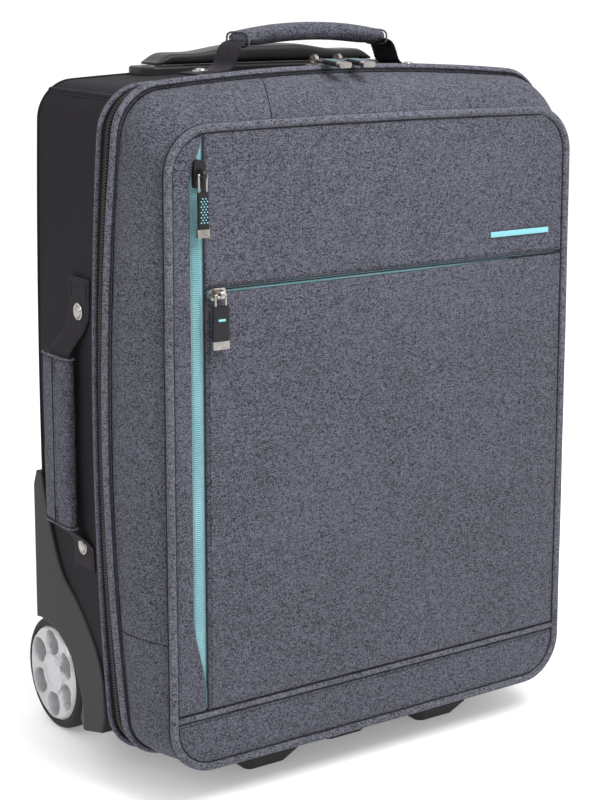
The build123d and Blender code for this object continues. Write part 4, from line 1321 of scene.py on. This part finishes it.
# ---------------------------------------------------------------- inside: lining, tray, laptop sleeve
def lining_ring(section_at, near, far, inset, steps, seed):
    """A thin lining on the inside of a shell, with the slack of loose cloth."""
    levels = np.linspace(near, far, steps)
    outer = [ring(section_at(v), inset) for v in levels]
    inner = [ring(section_at(v), inset + 0.8) for v in levels[::-1]]
    rows = np.array(outer + inner)
    middle = rows.reshape(-1, 3).mean(0)
    waves = [noise.noise(Vector(p / 48.0) + Vector((seed, 0, 0))) for p in rows.reshape(-1, 3)]
    waves = np.array(waves).reshape(rows.shape[:2])
    inward = rows - middle
    inward[..., 1] = 0
    inward /= np.linalg.norm(inward, axis=2)[..., None]
    rows -= inward * (0.9 * (waves[..., None] + 0.6))
    return loft(rows, closed=True)


lining = make("main_lining", *lining_ring(rear_at, -42.8, 30.0, 5.0, 16, 0.0), LINING, "lining_fabric")
cut_notches(lining)
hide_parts("compartment_lining")
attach(lining, "case")
lid_ring = lining_ring(lid_at, 0.02, 0.9, 5.0, 12, 7.0)
deepest = ring(lid_at(0.9), 5.6)
centre = deepest.mean(0)
cap = [centre + (deepest - centre) * share for share in (1.0, 0.94, 0.8, 0.6, 0.4, 0.2, 0.05)]
front = [row - np.array((0, 0.8, 0)) for row in cap[::-1]]
bottom = loft(front + cap)
points, faces = merged([lid_ring, (ruffled(bottom[0], 60.0, 0.7, 3.0), bottom[1])])
make("lid_lining_cloth", points, faces, LINING, "lining_fabric", "lid", ["lid_lining"])
for name, section, inset, body, y in (
    ("rear_rim_binding", REAR_FRONT, 3.2, "case", -43.4),
    ("lid_rim_binding", LID_BACK, 3.0, "lid", -72.4),
):
    make(name, *cord_round(section, 1.5, inset, y, sides=10), BLACK_SEAM, "black_fabric", body)


def slab(x, y, z, corner, puff, seed):
    """A flat upright pad: a rounded rectangle in x and z, crowned on its front."""
    half_x, half_z = (x[1] - x[0]) / 2, (z[1] - z[0]) / 2
    section = Section(0.0, 2 * half_x, z[0], z[1], corner, 0.0, 0.0, 0.0)
    rings = []
    outer = ring(section, 0.0, y[1]) + np.array(((x[0] + x[1]) / 2, 0, 0))
    centre = outer.mean(0)
    for share in (0.02, 0.5):
        rings.append(centre + (outer - centre) * share)
    rings.append(outer)
    steps = [(1.0, 0.3), (0.998, 0.75), (0.99, 0.97)]
    steps += [(share, 1.0) for share in (0.97, 0.9, 0.75, 0.55, 0.35, 0.15, 0.02)]
    for share, forward in steps:
        row = centre + (outer - centre) * share
        row[:, 1] = y[1] - (y[1] - y[0]) * forward - puff * (1 - share**6)
        rings.append(row)
    points, faces = loft(rings)
    return ruffled(points, 55.0, 0.5, seed), faces


points, faces = slab((-172, 172), (27.2, 29.2), (110, 512), 16.0, 0.3, 1.0)
make("tray_cloth", points, faces, LINING, "lining_fabric", "case", ["handle_tray"], sharp=50)
sleeve_front = slab((-172, 172), (6.2, 9.8), (62.5, 337.5), 14.0, 1.2, 2.0)
sleeve_back = slab((-171, 171), (23.4, 26.6), (63, 337.5), 14.0, 0.4, 5.0)
sides = [
    rounded_bar(x, (8.0, 25.5), z, 1.2, 4)
    for x, z in (((-172, -168.4), (70, 336.5)), ((168.4, 172), (70, 336.5)), ((-164, 164), (62.4, 65.8)))
]
points, faces = merged([sleeve_front, sleeve_back, *sides])
sleeve = make("laptop_pad", points, faces, FLEECE, "sleeve_fabric", "case", ["laptop_sleeve"], sharp=50)
points, faces = wire([(x, 7.9, 337.4) for x in np.linspace(-170, 170, 60)], 2.3, sides=10)
make("laptop_pad_binding", points, faces, BLACK_SEAM, "sleeve_fabric", "case")

# ---------------------------------------------------------------- grip of the telescopic handle
TUBE_Y = 46.0
GRIP_LOW, GRIP_HALF = 541.9, 104.0


def grip_height(x):
    """Top of the grip: level beside the button, lower over the tubes, and ramped at both ends."""
    x = abs(x)
    height = 556.2 - 5.2 * smooth_step(24.0, 72.0, x)
    return float(height - 7.2 * smooth_step(88.0, GRIP_HALF + 1.0, x) ** 1.3)


def telescope_grip():
    rows = []
    turn = round_about(48)
    ends = GRIP_HALF - 0.2 - 6.0 * (1 - np.sin(np.linspace(0.15, math.pi / 2, 8)))
    for x in [*-ends[::-1], *np.linspace(-97.0, 97.0, 66), *ends]:
        high = grip_height(x)
        edge = max(abs(x) - (GRIP_HALF - 6.2), 0.0) / 6.2
        half_y = 14.8 - 4.0 * (1 - math.sqrt(max(1 - min(edge, 1.0) ** 2, 0.0)))
        half_z = (high - GRIP_LOW) / 2
        y, z = half_y * soft_power(np.cos(turn), 0.45), half_z * soft_power(np.sin(turn), 0.55)
        rows.append(np.stack([0 * turn + x, TUBE_Y + y, GRIP_LOW + half_z + z], 1))
    grip = make("telescope_grip", *loft(rows), PLASTIC, "black_plastic", sharp=50)
    button_room = ((-20.9, 20.9), (39.1, 52.9), (548.2, 570))
    bar_room = ((-89.5, 89.5), (42.4, 49.6), (542.8, 549.6))
    for room in (button_room, bar_room):
        apply_boolean(grip, make("room", *rounded_bar(*room, 1.0, 3), PLASTIC, "black_plastic"))
    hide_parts("handle_grip")
    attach(grip, "grip_stage")


telescope_grip()

# ---------------------------------------------------------------- finishes of the CAD nodes that stay
FINISH = {
    BASE: ("base_moulding", "back_board"),
    FOOT: ("front_feet",),
    PLASTIC: ("handle_bezel", "release_button", "side_zip_slider"),
    ALU: ("outer_tubes", "middle_tubes", "inner_tubes"),
    STEEL: (
        "axles", "bearings_left", "bearings_right", "case_screws", "foot_screws",
        "button_springs", "release_bar", "lock_pin_left", "lock_pin_right",
    ),
    NICKEL: (
        "main_slider_left", "main_slider_right", "front_zip_slider", "side_pull_metal",
        "front_pull_metal", "main_pull_metal_left", "main_pull_metal_right",
    ),
    PULL: ("main_pull_grip_left", "main_pull_grip_right", "side_pull_grip", "front_pull_grip"),
}
for look, nodes in FINISH.items():
    for node in nodes:
        for material_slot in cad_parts[node].material_slots:
            material_slot.material = look
for node in ("base_moulding", "handle_bezel", "front_feet"):
    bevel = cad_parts[node].modifiers.new("bevel", "BEVEL")
    bevel.width = 1.0 * MM
    bevel.segments = 2
    bevel.limit_method = "ANGLE"
    bevel.angle_limit = math.radians(40)
